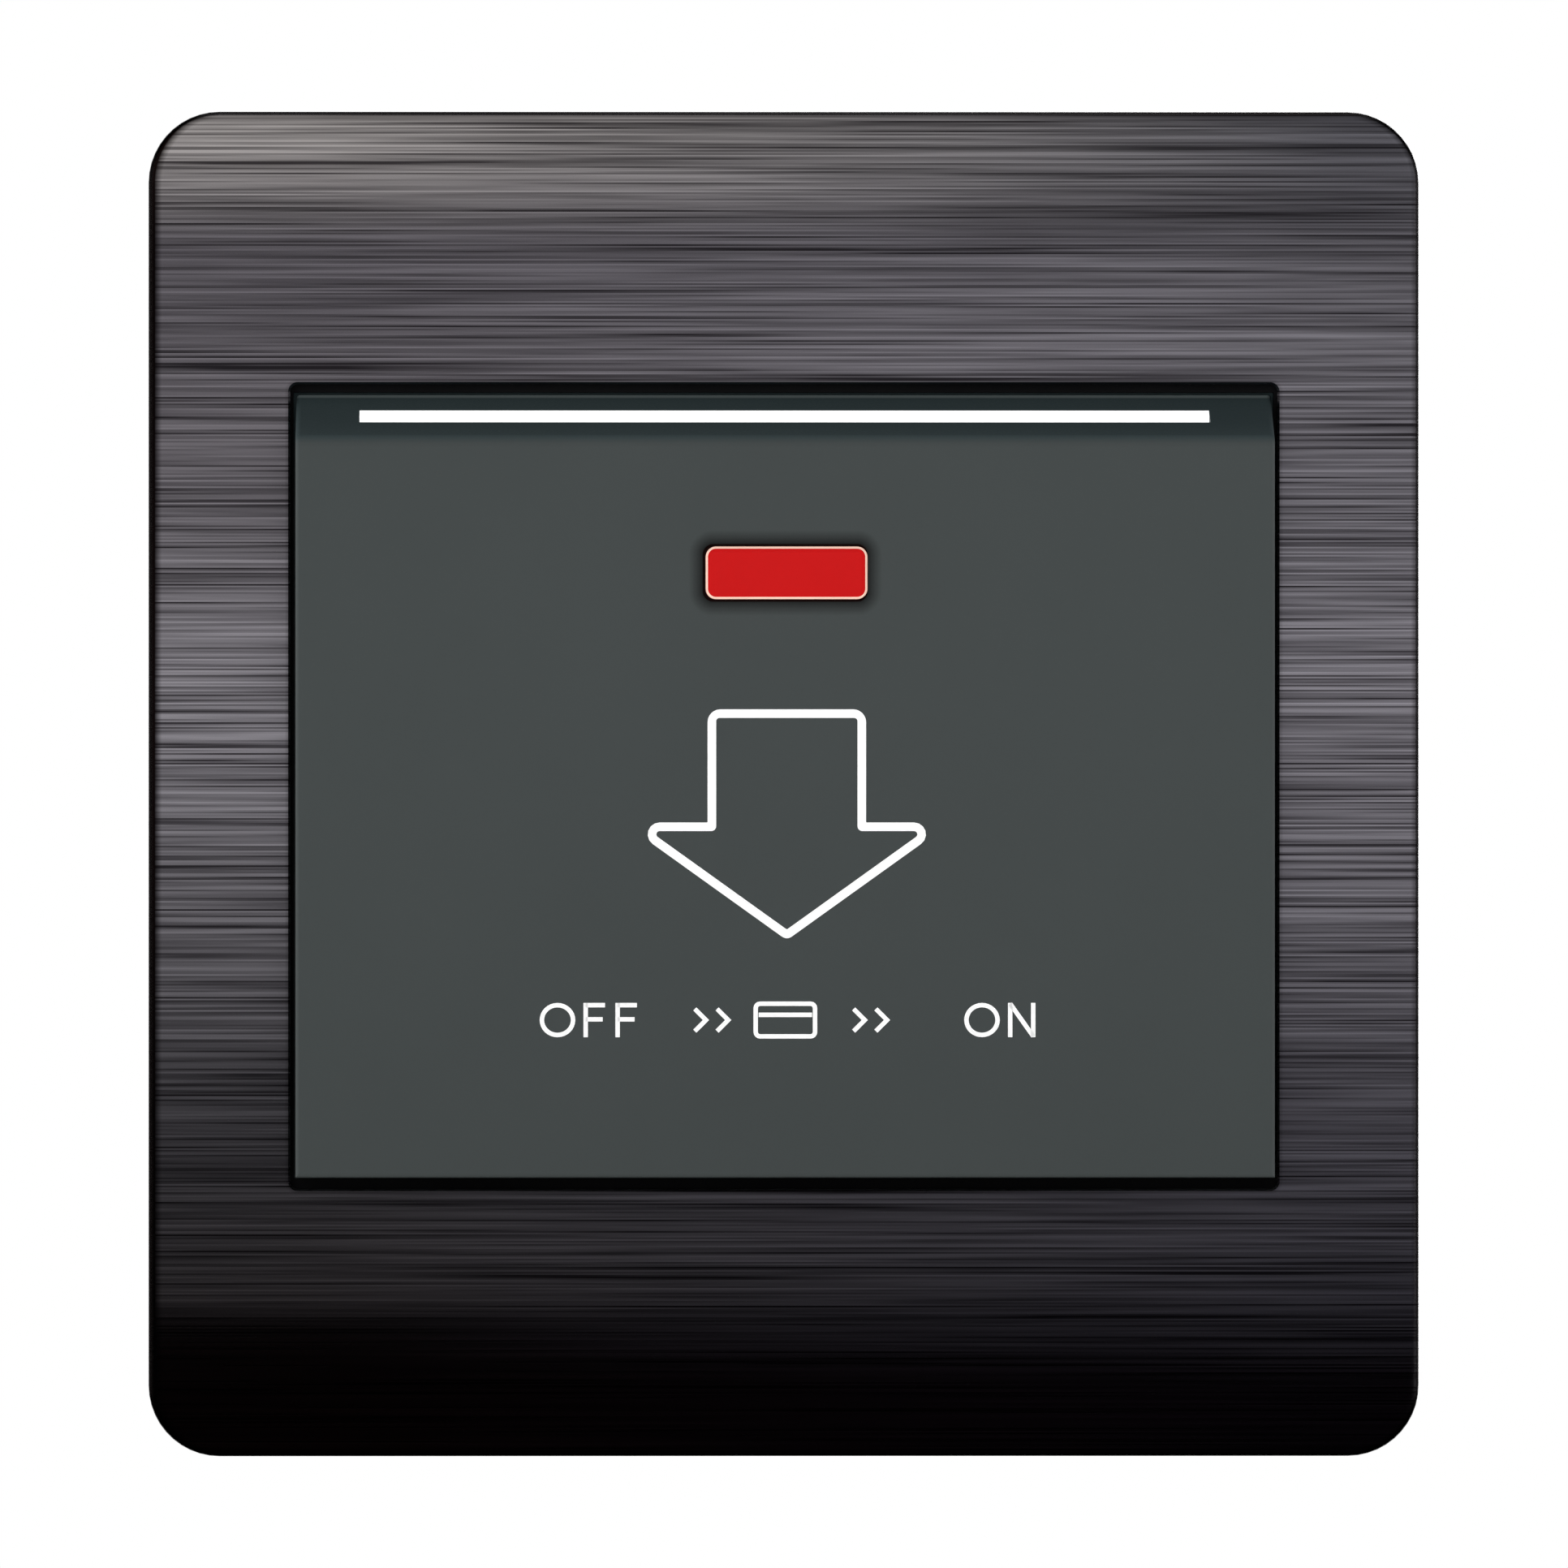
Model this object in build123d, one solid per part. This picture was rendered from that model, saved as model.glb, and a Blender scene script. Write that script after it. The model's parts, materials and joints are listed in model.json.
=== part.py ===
from build123d import *
from math import dist, sqrt
import os

# Wall-mounted key card switch: a brushed face plate round a raised card pocket, on a switch module
# that goes into a wall box. A card dropped into the pocket swings a lever onto a snap switch.
# +X is to the right, +Z up, and the front looks towards -Y. The wall's surface is the plane Y = 0,
# and the origin lies on it, midway between the two wall screws. Lengths are in millimetres.

# Card and the slot that takes it
card_width = 54.0
card_side_play = 0.45
card_gap = 1.3
slot_end_play = 1.75
light_guide_thickness = 0.9

# Pocket cover
pocket_side = 4.25
pocket_height = 52.85
pocket_wall = 2.0
roof_wall = 1.9
slot_lip = 2.9
slot_land = 1.9
slope_height = 3.0
slope_tuck = 1.0
pocket_edge_radius = 0.35
slope_edge_radius = 0.9
pocket_drop = 0.1
rib_width = 1.0
rib_spacing = 11.0
guide_post_height = 2.8
guide_post_inset = 0.3
flange_margin = 3.7
flange_thickness = 1.4
flange_corner = 1.5

# Face plate and the moulded frame that carries it
side_reveal = 0.4
top_reveal = 0.725
bottom_reveal = 0.875
side_border = 9.6
end_border = 18.275
plate_reach = 12.85
post_reach = 8.5
plate_corner = 4.8
opening_corner = 0.5
sheet_thickness = 1.5
sheet_edge_radius = 0.7
opening_edge = 0.15
web_thickness = 1.5
web_play = 0.2
skirt_wall = 1.6
skirt_inset = 0.3
wall_gap = 0.3
frame_rib = 1.2
frame_rib_height = 1.4
frame_rib_pitch = 14.0
pry_notch_width = 10.0
pry_notch_depth = 1.2
stake_radius = 0.9
stake_head_radius = 1.4
stake_head_height = 0.7
stake_distance = 2.1
stake_x = 20.0
post_x = 24.0
post_width = 8.0
post_thickness = 1.8
post_gap = 7.85
post_end_gap = 0.8
groove_depth = 0.6
groove_reach = 1.0

# Indicator lens
lens_width = 10.9
lens_height = 3.65
lens_corner = 0.6
lens_proud = 0.4
lens_chamfer = 0.25
lens_play = 0.12
lens_flange = 1.1
lens_flange_thickness = 0.9
lens_drop = 12.1

# Carrier plate on the wall
carrier_thickness = 3.0
carrier_play = 1.0
carrier_corner = 3.0
cover_air = 1.6
mount_spacing = 60.3
screw_room = 5.15
mount_slot_height = 6.4
mount_slot_play = 0.2
seat_depth = 1.6
seat_play = 0.4
rebate_depth = 1.0
window_play = 0.4
window_depth = 3.6
lobe_radius = 3.1
carrier_rib_height = 0.9

# Wall screws
wall_screw_radius = 2.0
wall_screw_neck = 1.75
wall_screw_head = 3.8
wall_screw_head_height = 2.6
wall_screw_bevel = 1.0
wall_screw_length = 25.0
recess_width = 1.0
recess_length = 4.4
recess_depth = 1.2

# Spring clips that hold the front on the carrier
clip_thickness = 0.4
clip_width = 6.0
clip_bend = 0.7
clip_foot = 1.6
clip_play = 0.05
clip_bow = 1.0
clip_bite = 0.3

# Card channel, the inner moulding
channel_plate = 1.8
channel_wall = 1.6
inner_play = 0.35
stop_thickness = 1.4
stop_rise = 0.5
rail_wall = 1.4
rail_play = 0.1
rail_gap = 6.0
rail_lead = 2.0
screw_access = 5.0
led_window_width = 8.0
led_window_height = 3.0
guide_gap = 0.4
boss_radius = 2.7
apron_thickness = 0.7
apron_lap = 0.8

# Card lever, its pin and its spring
nose_lift = 7.175
lever_pivot_depth = 2.9
lever_arm = 15.0
lever_width = 8.0
lever_barrel = 2.2
lever_thickness = 2.4
lever_front_play = 0.3
nose_play = 0.15
nose_radius = 0.5
nose_rise = 5.2
nose_drop = 1.5
lever_window_play = 0.5
pad_height = 3.2
pad_reach = 2.3
pin_radius = 0.8
pin_play = 0.05
pin_overhang = 0.3
ear_thickness = 2.0
ear_play = 0.3
ear_width = 5.0
spring_wire = 0.5
wire_sides = 6
spring_bore_play = 0.2
spring_pitch = 0.95
spring_turns = 3
spring_leg = 5.5
spring_peg_radius = 0.45
spring_peg_gap = 0.04
spring_rest_width = 1.6
spring_rest_height = 1.6
spring_overhang = 0.6

# Snap switch
plunger_arm = 10.0
plunger_gap = 0.12
plunger_out = 1.18
plunger_radius = 1.6
plunger_bevel = 0.7
plunger_bore_play = 0.06
plunger_collar = 2.4
plunger_collar_height = 1.2
plunger_collar_gap = 0.1
plunger_inset = 2.5
switch_length = 27.8
switch_depth = 15.9
switch_height = 10.3
switch_wall = 1.5
switch_cover_thickness = 1.2
switch_cavity_depth = 9.0
switch_hole_radius = 1.55
switch_hole_edge = 2.9
leaf_gap = 0.12
leaf_thickness = 0.3
leaf_width = 3.6
leaf_inset = 3.4
leaf_tip_inset = 3.4
leaf_root_gap = 0.2
contact_radius = 1.2
contact_height = 0.5
contact_inset = 5.0
contact_travel = 1.3
contact_air = 0.06
blade_thickness = 0.5
blade_width = 3.2
blade_play = 0.05
blade_clear = 0.5
working_inset = 4.5

# Circuit board and what stands on it
board_standoff = 0.3
board_thickness = 1.6
board_play = 0.8
board_corner = 1.0
column_play = 0.4
column_step = 1.2
catch_reach = 1.3
catch_length = 6.0
catch_play = 0.1
relay_height = 12.7
relay_depth = 15.7
relay_side_gap = 0.3
relay_edge = 0.5
relay_wall = 0.8
relay_base_thickness = 2.0
relay_air = 0.3
bobbin_length_share = 0.48
bobbin_flange = 4.9
bobbin_flange_thickness = 0.8
bobbin_tube = 2.4
winding_radius = 4.4
core_radius = 1.8
core_overhang = 0.6
yoke_thickness = 1.4
yoke_width = 8.0
yoke_air = 0.4
armature_thickness = 1.2
armature_gap = 0.6
hinge_play = 0.05
armature_short = 1.6
blade_spring = 0.3
blade_spring_width = 3.0
rivet_radius = 1.2
rivet_height = 0.4
rivet_air = 0.06
rivet_gap = 0.8
contact_bar = 0.5
contact_bar_width = 3.0
pin_side = 0.8
film_height = 8.5
film_depth = 14.5
film_gap = 1.8
film_side_gap = 0.6
film_top_gap = 3.6
film_edge = 0.8
can_radius = 4.0
can_length = 12.0
can_side_gap = 4.6
can_gap = 1.6
can_groove = 0.3
disc_radius = 3.9
disc_thickness = 3.4
disc_bevel = 0.8
disc_gap = 0.5
lead_radius = 0.3
lead_stand = 1.2
header_pitch = 2.54
header_pins = 3
header_pin = 0.64
header_gap = 0.4
header_side_gap = 0.55
header_base = 2.5
resistor_radius = 1.2
resistor_length = 6.5
resistor_pitch = 5.0
resistor_count = 3
resistor_edge = 3.9
chip_length = 9.6
chip_width = 6.4
chip_height = 3.3
chip_lift = 0.5
chip_pitch = 2.54
chip_pins = 4
chip_pin_width = 1.2
chip_pin_thickness = 0.3
chip_notch = 0.8
chip_side_gap = 4.3
chip_drop = 12.2
transistor_width = 4.6
transistor_flat = 1.6
transistor_height = 4.8
transistor_pitch = 1.27
transistor_x = -10.0
transistor_drop = 9.7
rectifier_length = 8.5
rectifier_height = 6.4
rectifier_depth = 3.3
rectifier_x = 10.0
rectifier_lift = 3.4

# Small board with the slot and indicator lamps
led_board_play = 0.5
led_board_thickness = 1.0
led_board_height = 9.4
led_board_corner = 0.8
led_height = 1.6
led_length = 3.5
led_width = 2.8
led_edge_gap = 0.3
led_boss_radius = 1.9
led_screw_edge = 2.2
led_screw_radius = 0.9
led_screw_head = 1.7
led_screw_head_height = 1.1
led_screw_length = 3.4

# Rear housing, its screws and the terminals
housing_height = 58.0
housing_wall = 1.8
housing_corner = 3.0
housing_play = 0.15
stack_edge = 0.8
stack_top_drop = 4.19
stack_bottom_lift = 3.575
stack_inset = 3.15
stack_screw_radius = 1.45
stack_hole_radius = 1.6
stack_head_radius = 2.7
stack_head_height = 1.9
stack_head_sink = 3.0
stack_grip = 5.2
column_radius = 3.1
vent_width = 0.8
vent_length = 16.0
vent_pitch = 1.7
vent_count = 5
vent_drop = 10.2
terminal_count = 4
terminal_block_gap = 0.3
terminal_depth = 12.9
terminal_height = 13.4
terminal_end_wall = 1.0
terminal_side_wall = 0.9
terminal_floor = 2.2
clamp_depth = 7.6
clamp_height = 7.0
clamp_wall = 1.1
clamp_play = 0.1
clamp_front_gap = 0.8
wire_entry = 5.2
wire_flare = 0.6
terminal_screw_radius = 1.75
terminal_screw_head = 2.6
terminal_screw_head_height = 2.0
terminal_screw_lift = 0.6
terminal_hole_play = 0.3
block_play = 0.15

# One depth past every face that a cut goes through
overrun = 1.0

# Planes across the depth, from the wall forwards
carrier_front = -carrier_thickness
flange_back = carrier_front - cover_air
web_back = flange_back - flange_thickness
sheet_back = web_back - web_thickness
face_y = sheet_back - sheet_thickness
pocket_proud = slot_lip + card_gap + light_guide_thickness + slot_land
pocket_front = face_y - pocket_proud
slope_back = face_y + slope_tuck
cover_inner = pocket_front + pocket_wall
slot_front = pocket_front + slot_lip
channel_face = slot_front + card_gap
slot_back = channel_face + light_guide_thickness
channel_back = channel_face + channel_plate

# Widths: the housing goes between the wall screws, the pocket covers the slot and the channel's box,
# and the plate covers the pocket's border and the wall screws
mount_x = mount_spacing / 2
housing_width = 2 * (mount_x - screw_room)
cavity_half = housing_width / 2 - housing_wall
stack_x = cavity_half - stack_edge
block_half = stack_x + stack_inset
slot_half = card_width / 2 + slot_end_play
pocket_half = max(slot_half + pocket_side, block_half + inner_play + pocket_wall)
opening_half = pocket_half + side_reveal
plate_half = max(opening_half + side_border, mount_x + plate_reach)
flange_half = pocket_half + flange_margin
skirt_half = plate_half - skirt_inset - skirt_wall
carrier_half = skirt_half - carrier_play
rail_inner = card_width / 2 + card_side_play
rail_outer = rail_inner + rail_wall

# Heights, from the pocket's middle outwards. The frame's posts stand clear of the housing
pocket_top = pocket_height / 2 - pocket_drop
pocket_bottom = -pocket_height / 2 - pocket_drop
slope_base = pocket_top - slope_height
opening_height = pocket_height + top_reveal + bottom_reveal
opening_z = (top_reveal - bottom_reveal) / 2 - pocket_drop
post_z = housing_height / 2 + housing_play + post_gap
plate_half_height = max(opening_height / 2 + end_border, post_z + post_reach)
skirt_half_height = plate_half_height - skirt_inset - skirt_wall
carrier_half_height = skirt_half_height - carrier_play
lens_z = pocket_top - lens_drop


def slope_z(y):
    """Height of the pocket's sloping top face at depth y."""
    return slope_base + (y - pocket_front) * slope_height / (slope_back - pocket_front)


channel_bottom = pocket_bottom + pocket_wall + inner_play
channel_top = slope_z(slot_back) - roof_wall - inner_play
stop_top = channel_bottom + stop_thickness
guide_top = slope_z(channel_face) - roof_wall - inner_play

# Card lever and snap switch
pivot_y = channel_back + lever_pivot_depth
nose_reach = card_gap - nose_play
nose_z = channel_bottom + nose_lift
lever_pivot_z = nose_z + lever_arm
lever_front = channel_back + lever_front_play
lever_back = lever_front + lever_thickness
pad_face = lever_back + pad_reach
plunger_tip = pad_face + plunger_gap
switch_front = plunger_tip + plunger_out
switch_back = switch_front + switch_depth
switch_z = lever_pivot_z - plunger_arm
switch_low = switch_z - switch_height / 2
switch_high = switch_z + switch_height / 2
switch_left = -plunger_inset - switch_length / 2
switch_right = -plunger_inset + switch_length / 2
leaf_left = switch_left + leaf_inset
leaf_tip = switch_right - leaf_tip_inset
contact_x = switch_right - contact_inset
plunger_end = switch_front + switch_wall + plunger_collar_gap + plunger_collar_height
leaf_front = plunger_end + leaf_gap
leaf_back = leaf_front + leaf_thickness

# Circuit boards, housing and terminals
board_front = switch_back + board_standoff
board_back = board_front + board_thickness
housing_back = board_back + terminal_depth
housing_front = -rebate_depth
cavity_half_height = housing_height / 2 - housing_wall
board_half = cavity_half - board_play
board_half_height = cavity_half_height - board_play
housing_bottom = -housing_height / 2
stack_top_z = channel_top - stack_top_drop
stack_bottom_z = channel_bottom + stack_bottom_lift
film_low = cavity_half_height - film_top_gap - film_height
relay_high = film_low - film_gap
relay_low = relay_high - relay_height
led_face = slot_back + guide_gap
led_board_front = led_face + led_height
led_board_back = led_board_front + led_board_thickness
white_led_z = channel_top - channel_wall - led_edge_gap - led_width / 2
led_board_top = channel_top - channel_wall - led_edge_gap
led_board_low = led_board_top - led_board_height
led_board_half = stack_x - boss_radius - led_board_play
led_screw_x = led_board_half - led_screw_edge
channel_plate_top = white_led_z - led_width / 2 - led_edge_gap
guide_low = channel_plate_top + guide_gap
terminal_half = stack_x - column_radius - terminal_block_gap
terminal_pitch = 2 * (terminal_half - terminal_end_wall) / terminal_count
clamp_width = terminal_pitch - 2 * (terminal_side_wall + clamp_play)
terminal_x = [(i - (terminal_count - 1) / 2) * terminal_pitch for i in range(terminal_count)]
clamp_front = board_back + clamp_front_gap
clamp_back = clamp_front + clamp_depth
clamp_low = housing_bottom + terminal_floor
entry_front = clamp_front + clamp_wall
entry_back = entry_front + wire_entry
header_z = (led_board_low + lens_z) / 2
header_last = (header_pins - 1) * header_pitch
header_x = led_screw_x - led_screw_head - header_side_gap - header_last
header_left = header_x - header_pitch / 2 - header_gap
relay_left = column_radius + relay_side_gap - stack_x
relay_right = header_left
disc_x = header_left - disc_radius
film_left = column_radius + column_play + film_side_gap - stack_x
film_right = disc_x - disc_radius - disc_gap
can_x = cavity_half - can_radius - can_side_gap
can_z = header_z - header_pitch / 2 - can_gap - can_radius
resistor_x = resistor_length + resistor_edge - board_half
chip_x = stack_x - column_radius - column_step - chip_length / 2 - chip_side_gap
chip_z = cavity_half_height - chip_drop
transistor_z = cavity_half_height - transistor_drop
rectifier_z = relay_low + rectifier_lift
vent_z = cavity_half_height - vent_drop
spring_radius = pin_radius + spring_bore_play + spring_wire / 2
spring_leg_y = pivot_y - spring_radius
peg_y = spring_leg_y - spring_wire / 2 - spring_peg_gap - spring_peg_radius
spring_start_x = lever_width / 2 + 2 * ear_play + spring_wire / 2
spring_end_x = spring_start_x + spring_turns * spring_pitch

# Relay works, inside its cover
relay_z = relay_low + relay_height / 2
relay_front = board_front - relay_depth
relay_floor = board_front - relay_base_thickness
coil_y = relay_floor - bobbin_flange
yoke_left = relay_left + relay_wall + relay_air
bobbin_left = yoke_left + yoke_thickness
bobbin_right = bobbin_left + bobbin_length_share * (relay_right - relay_left)
pole_x = bobbin_right + core_overhang
armature_left = pole_x + armature_gap
armature_right = armature_left + armature_thickness
yoke_inner = coil_y - bobbin_flange - yoke_air
yoke_front = yoke_inner - yoke_thickness
blade_right = armature_right + blade_spring
blade_end = relay_floor - 2 * relay_air
contact_y = blade_end - rivet_radius


def along_y(outline, back, front):
    """The outline, drawn in X and Z, as a solid from the plane Y = back forward to Y = front."""
    return extrude(Plane.XZ.offset(-back) * outline, amount=back - front, dir=(0, -1, 0))


def along_x(outline, left, right):
    """The outline, drawn in Y and Z, as a solid from X = left to X = right."""
    return extrude(Plane.YZ.offset(left) * outline, amount=right - left, dir=(1, 0, 0))


def along_z(outline, low, high):
    """The outline, drawn in X and Y, as a solid from Z = low to Z = high."""
    return extrude(Plane.XY.offset(low) * outline, amount=high - low, dir=(0, 0, 1))


def through(*points):
    """A closed outline through the points, given in either sense."""
    pairs = zip(points, points[1:] + points[:1])
    turn = sum(a * d - b * c for (a, b), (c, d) in pairs)
    return Polygon(*(points if turn > 0 else points[::-1]), align=None)


def block(x_range, y_range, z_range):
    """A box between the given limits on each axis."""
    (x0, x1), (y0, y1), (z0, z1) = x_range, y_range, z_range
    middle = Pos((x0 + x1) / 2, (y0 + y1) / 2, (z0 + z1) / 2)
    return middle * Box(x1 - x0, y1 - y0, z1 - z0)


def rod_y(x, z, radius, back, front):
    """A round rod along Y at (x, z)."""
    return along_y(Pos(x, z) * Circle(radius), back, front)


def joined(pieces):
    """The pieces fused, or kept side by side where they don't touch."""
    whole = pieces[0]
    for piece in pieces[1:]:
        whole = whole + piece
    return whole


def mirrored_x(piece):
    """The piece together with its mirror image across X = 0."""
    return piece + mirror(piece, about=Plane.YZ)


def pocket_outline(margin, corner):
    """The pocket's front outline, grown by a margin on every side."""
    width = 2 * (pocket_half + margin)
    height = pocket_height + 2 * margin
    return Pos(0, -pocket_drop) * RectangleRounded(width, height, corner)


def opening_outline():
    """The opening of the face plate, a little larger than the pocket."""
    return Pos(0, opening_z) * RectangleRounded(2 * opening_half, opening_height, opening_corner)


def stake_points():
    """Centres of the four heat stakes above and below the pocket."""
    end = pocket_height / 2 + stake_distance
    return [(x, z - pocket_drop) for x in (-stake_x, stake_x) for z in (-end, end)]


def face_plate():
    """Brushed sheet with a rolled outer edge and the pocket's opening."""
    outline = RectangleRounded(2 * plate_half, 2 * plate_half_height, plate_corner)
    sheet = along_y(outline - opening_outline(), sheet_back, face_y)
    front = sheet.faces().sort_by(Axis.Y)[0]
    sheet = fillet(front.outer_wire().edges(), radius=sheet_edge_radius)
    front = sheet.faces().sort_by(Axis.Y)[0]
    return chamfer(front.inner_wires()[0].edges(), length=opening_edge)


def frame_post(x, side):
    """One post of the frame, with the groove that a spring clip's bow drops into."""
    inner = post_z - post_thickness / 2
    middle = carrier_front / 2
    solid = block(
        (x - post_width / 2, x + post_width / 2),
        (web_back, -post_end_gap),
        (inner, inner + post_thickness),
    )
    groove = through(
        (middle - 2 * groove_reach, inner - groove_depth),
        (middle, inner + groove_depth),
        (middle + 2 * groove_reach, inner - groove_depth),
    )
    solid -= along_x(groove, x - post_width, x + post_width)
    return solid if side > 0 else mirror(solid, about=Plane.XY)


def snap_frame():
    """Moulded frame behind the sheet: web, skirt, ribs, clip posts and heat stakes."""
    outer_corner = plate_corner - skirt_inset
    outer = RectangleRounded(
        2 * (plate_half - skirt_inset), 2 * (plate_half_height - skirt_inset), outer_corner
    )
    hollow = RectangleRounded(2 * skirt_half, 2 * skirt_half_height, outer_corner - skirt_wall)
    inner = Pos(0, -pocket_drop) * Rectangle(2 * (pocket_half + web_play), pocket_height + 2 * web_play)
    body = along_y(outer - inner, -wall_gap, sheet_back)
    body -= along_y(hollow, overrun, web_back)
    rib_back = web_back + frame_rib_height
    flange_end = pocket_height / 2 + pocket_drop + flange_margin + inner_play
    for x in (-2 * frame_rib_pitch, -frame_rib_pitch, 0, frame_rib_pitch, 2 * frame_rib_pitch):
        for low, high in ((flange_end, skirt_half_height), (-skirt_half_height, -flange_end)):
            limits = (x - frame_rib / 2, x + frame_rib / 2)
            body += block(limits, (web_back, rib_back), (low, high))
    for z in (-frame_rib_pitch, 0, frame_rib_pitch):
        limits = (z - frame_rib / 2, z + frame_rib / 2)
        body += block((flange_half + inner_play, skirt_half), (web_back, rib_back), limits)
        body += block((-skirt_half, -flange_half - inner_play), (web_back, rib_back), limits)
    for x in (-post_x, post_x):
        for side in (-1, 1):
            body += frame_post(x, side)
    for x, z in stake_points():
        body += rod_y(x, z, stake_radius, flange_back + stake_head_height, web_back)
        body += rod_y(x, z, stake_head_radius, flange_back + stake_head_height, flange_back)
    body -= block(
        (-pry_notch_width / 2, pry_notch_width / 2),
        (-wall_gap - pry_notch_depth, overrun),
        (-plate_half_height, -skirt_half_height),
    )
    return body


def pocket_cover():
    """Moulded card pocket with a sloping top, the card slot through it and the lens window."""
    shell_side = through(
        (pocket_front, pocket_bottom),
        (web_back, pocket_bottom),
        (web_back, pocket_top),
        (slope_back, pocket_top),
        (pocket_front, slope_base),
    )
    cover = along_x(shell_side, -pocket_half, pocket_half)
    front = cover.faces().sort_by(Axis.Y)[0]
    cover = fillet(front.edges().sort_by(Axis.Z)[-1], radius=slope_edge_radius)
    front = cover.faces().sort_by(Axis.Y)[0]
    cover = fillet(front.edges().sort_by(Axis.Z)[:-1], radius=pocket_edge_radius)
    cover += along_y(pocket_outline(flange_margin, flange_corner), flange_back, web_back)
    inner_half = pocket_half - pocket_wall
    inner_low = pocket_bottom + pocket_wall
    hollow = through(
        (cover_inner, inner_low),
        (overrun, inner_low),
        (overrun, pocket_top - roof_wall),
        (slope_back, pocket_top - roof_wall),
        (cover_inner, slope_z(cover_inner) - roof_wall),
    )
    cover -= along_x(hollow, -inner_half, inner_half)
    rib_low = stop_top + inner_play
    rib_high = slope_z(cover_inner) - roof_wall
    for i in (-2, -1, 1, 2):
        x = i * rib_spacing
        limits = (x - rib_width / 2, x + rib_width / 2)
        cover += block(limits, (cover_inner, slot_front), (rib_low, rib_high))
    post_high = guide_top - guide_post_inset
    for x0, x1 in ((slot_half + card_side_play, inner_half), (-inner_half, -slot_half - card_side_play)):
        cover += block((x0, x1), (cover_inner, channel_face), (post_high - guide_post_height, post_high))
    cover -= block((-slot_half, slot_half), (slot_front, slot_back), (guide_low, pocket_top))
    window = Pos(0, lens_z) * RectangleRounded(
        lens_width + 2 * lens_play, lens_height + 2 * lens_play, lens_corner + lens_play
    )
    cover -= along_y(window, cover_inner, pocket_front - overrun)
    seat_width = lens_width + 2 * (lens_flange + lens_play)
    seat_height = lens_height + 2 * (lens_flange + lens_play)
    seat = Pos(0, lens_z) * Rectangle(seat_width, seat_height)
    cover -= along_y(seat, slot_front, cover_inner - lens_flange_thickness)
    for x, z in stake_points():
        cover -= rod_y(x, z, stake_radius + pin_play, overrun, web_back)
    return cover


def indicator_lens():
    """Red lens with a bevelled rim, held behind the wall by its flange."""
    face = Pos(0, lens_z) * RectangleRounded(lens_width, lens_height, lens_corner)
    lens = along_y(face, cover_inner, pocket_front - lens_proud)
    front = lens.faces().sort_by(Axis.Y)[0]
    lens = chamfer(front.edges(), length=lens_chamfer)
    flange = Pos(0, lens_z) * Rectangle(lens_width + 2 * lens_flange, lens_height + 2 * lens_flange)
    return lens + along_y(flange, cover_inner, cover_inner - lens_flange_thickness)


def slot_light_guide():
    """Opal strip that stands in the back of the card slot and glows along it."""
    half = slot_half - clip_play
    ear_half = pocket_half - pocket_wall - inner_play
    stem = through(
        (channel_face, guide_low),
        (slot_back, guide_low),
        (slot_back, slope_z(slot_back)),
        (channel_face, slope_z(channel_face)),
    )
    guide = along_x(stem, -half, half)
    ears_high = guide_top - guide_post_inset
    return guide + block((-ear_half, ear_half), (channel_face, slot_back), (guide_low, ears_high))


def carrier():
    """Plate that sits on the wall and carries the module behind and the front before it."""
    outline = RectangleRounded(2 * carrier_half, 2 * carrier_half_height, carrier_corner)
    opening = Rectangle(2 * cavity_half, 2 * cavity_half_height)
    plate = along_y(outline - opening, 0, carrier_front)
    rebate = RectangleRounded(
        housing_width + 2 * housing_play,
        housing_height + 2 * housing_play,
        housing_corner + housing_play,
    )
    for x, z in stack_points():
        lobe = Pos(x, z) * Circle(lobe_radius) & Rectangle(2 * cavity_half, 2 * cavity_half_height)
        plate += along_y(lobe, 0, carrier_front)
    plate -= along_y(rebate, overrun, housing_front)
    for x, z in stack_points():
        plate -= rod_y(x, z, stack_hole_radius, overrun, carrier_front - overrun)
    slot_width = 2 * (wall_screw_radius + mount_slot_play)
    seat_width = 2 * (wall_screw_head + seat_play)
    seat_height = seat_width + mount_slot_height - slot_width
    for x in (-mount_x, mount_x):
        slot = Pos(x, 0) * SlotOverall(mount_slot_height, slot_width, rotation=90)
        seat = Pos(x, 0) * SlotOverall(seat_height, seat_width, rotation=90)
        plate -= along_y(slot, overrun, carrier_front - overrun)
        plate -= along_y(seat, carrier_front + seat_depth, carrier_front - overrun)
    high = post_z + post_thickness / 2 + window_play
    low = high - post_thickness - window_play - window_depth
    for x in (-post_x, post_x):
        limits = (x - post_width / 2 - window_play, x + post_width / 2 + window_play)
        for z_range in ((low, high), (-high, -low)):
            plate -= block(limits, (carrier_front - overrun, overrun), z_range)
    rib_half = post_x - post_width / 2 - window_play - frame_rib
    rib_low = cavity_half_height + frame_rib
    for z in (rib_low, post_z):
        for low_z in (z, -z - frame_rib):
            plate += block(
                (-rib_half, rib_half),
                (carrier_front - carrier_rib_height, carrier_front),
                (low_z, low_z + frame_rib),
            )
    return plate


def clip_path(x):
    """Line of one spring clip: over the carrier's edge, round a bend and up into the post's groove."""
    post_inner = post_z - post_thickness / 2
    edge = post_inner - window_depth
    half = clip_thickness / 2
    front = carrier_front - half - clip_play
    middle = carrier_front / 2
    peak = post_inner + clip_bite - half + clip_bend * (sqrt(2) - 1)
    points = [
        (x, front, edge - clip_foot),
        (x, front, edge + half + clip_play),
        (x, middle + clip_bow, edge + half + clip_play),
        (x, middle + clip_bow, peak - clip_bow),
        (x, middle, peak),
        (x, middle - clip_bow, peak - clip_bow),
    ]
    return FilletPolyline(*points, radius=[clip_thickness, clip_bend, clip_bend, clip_bend])


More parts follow.
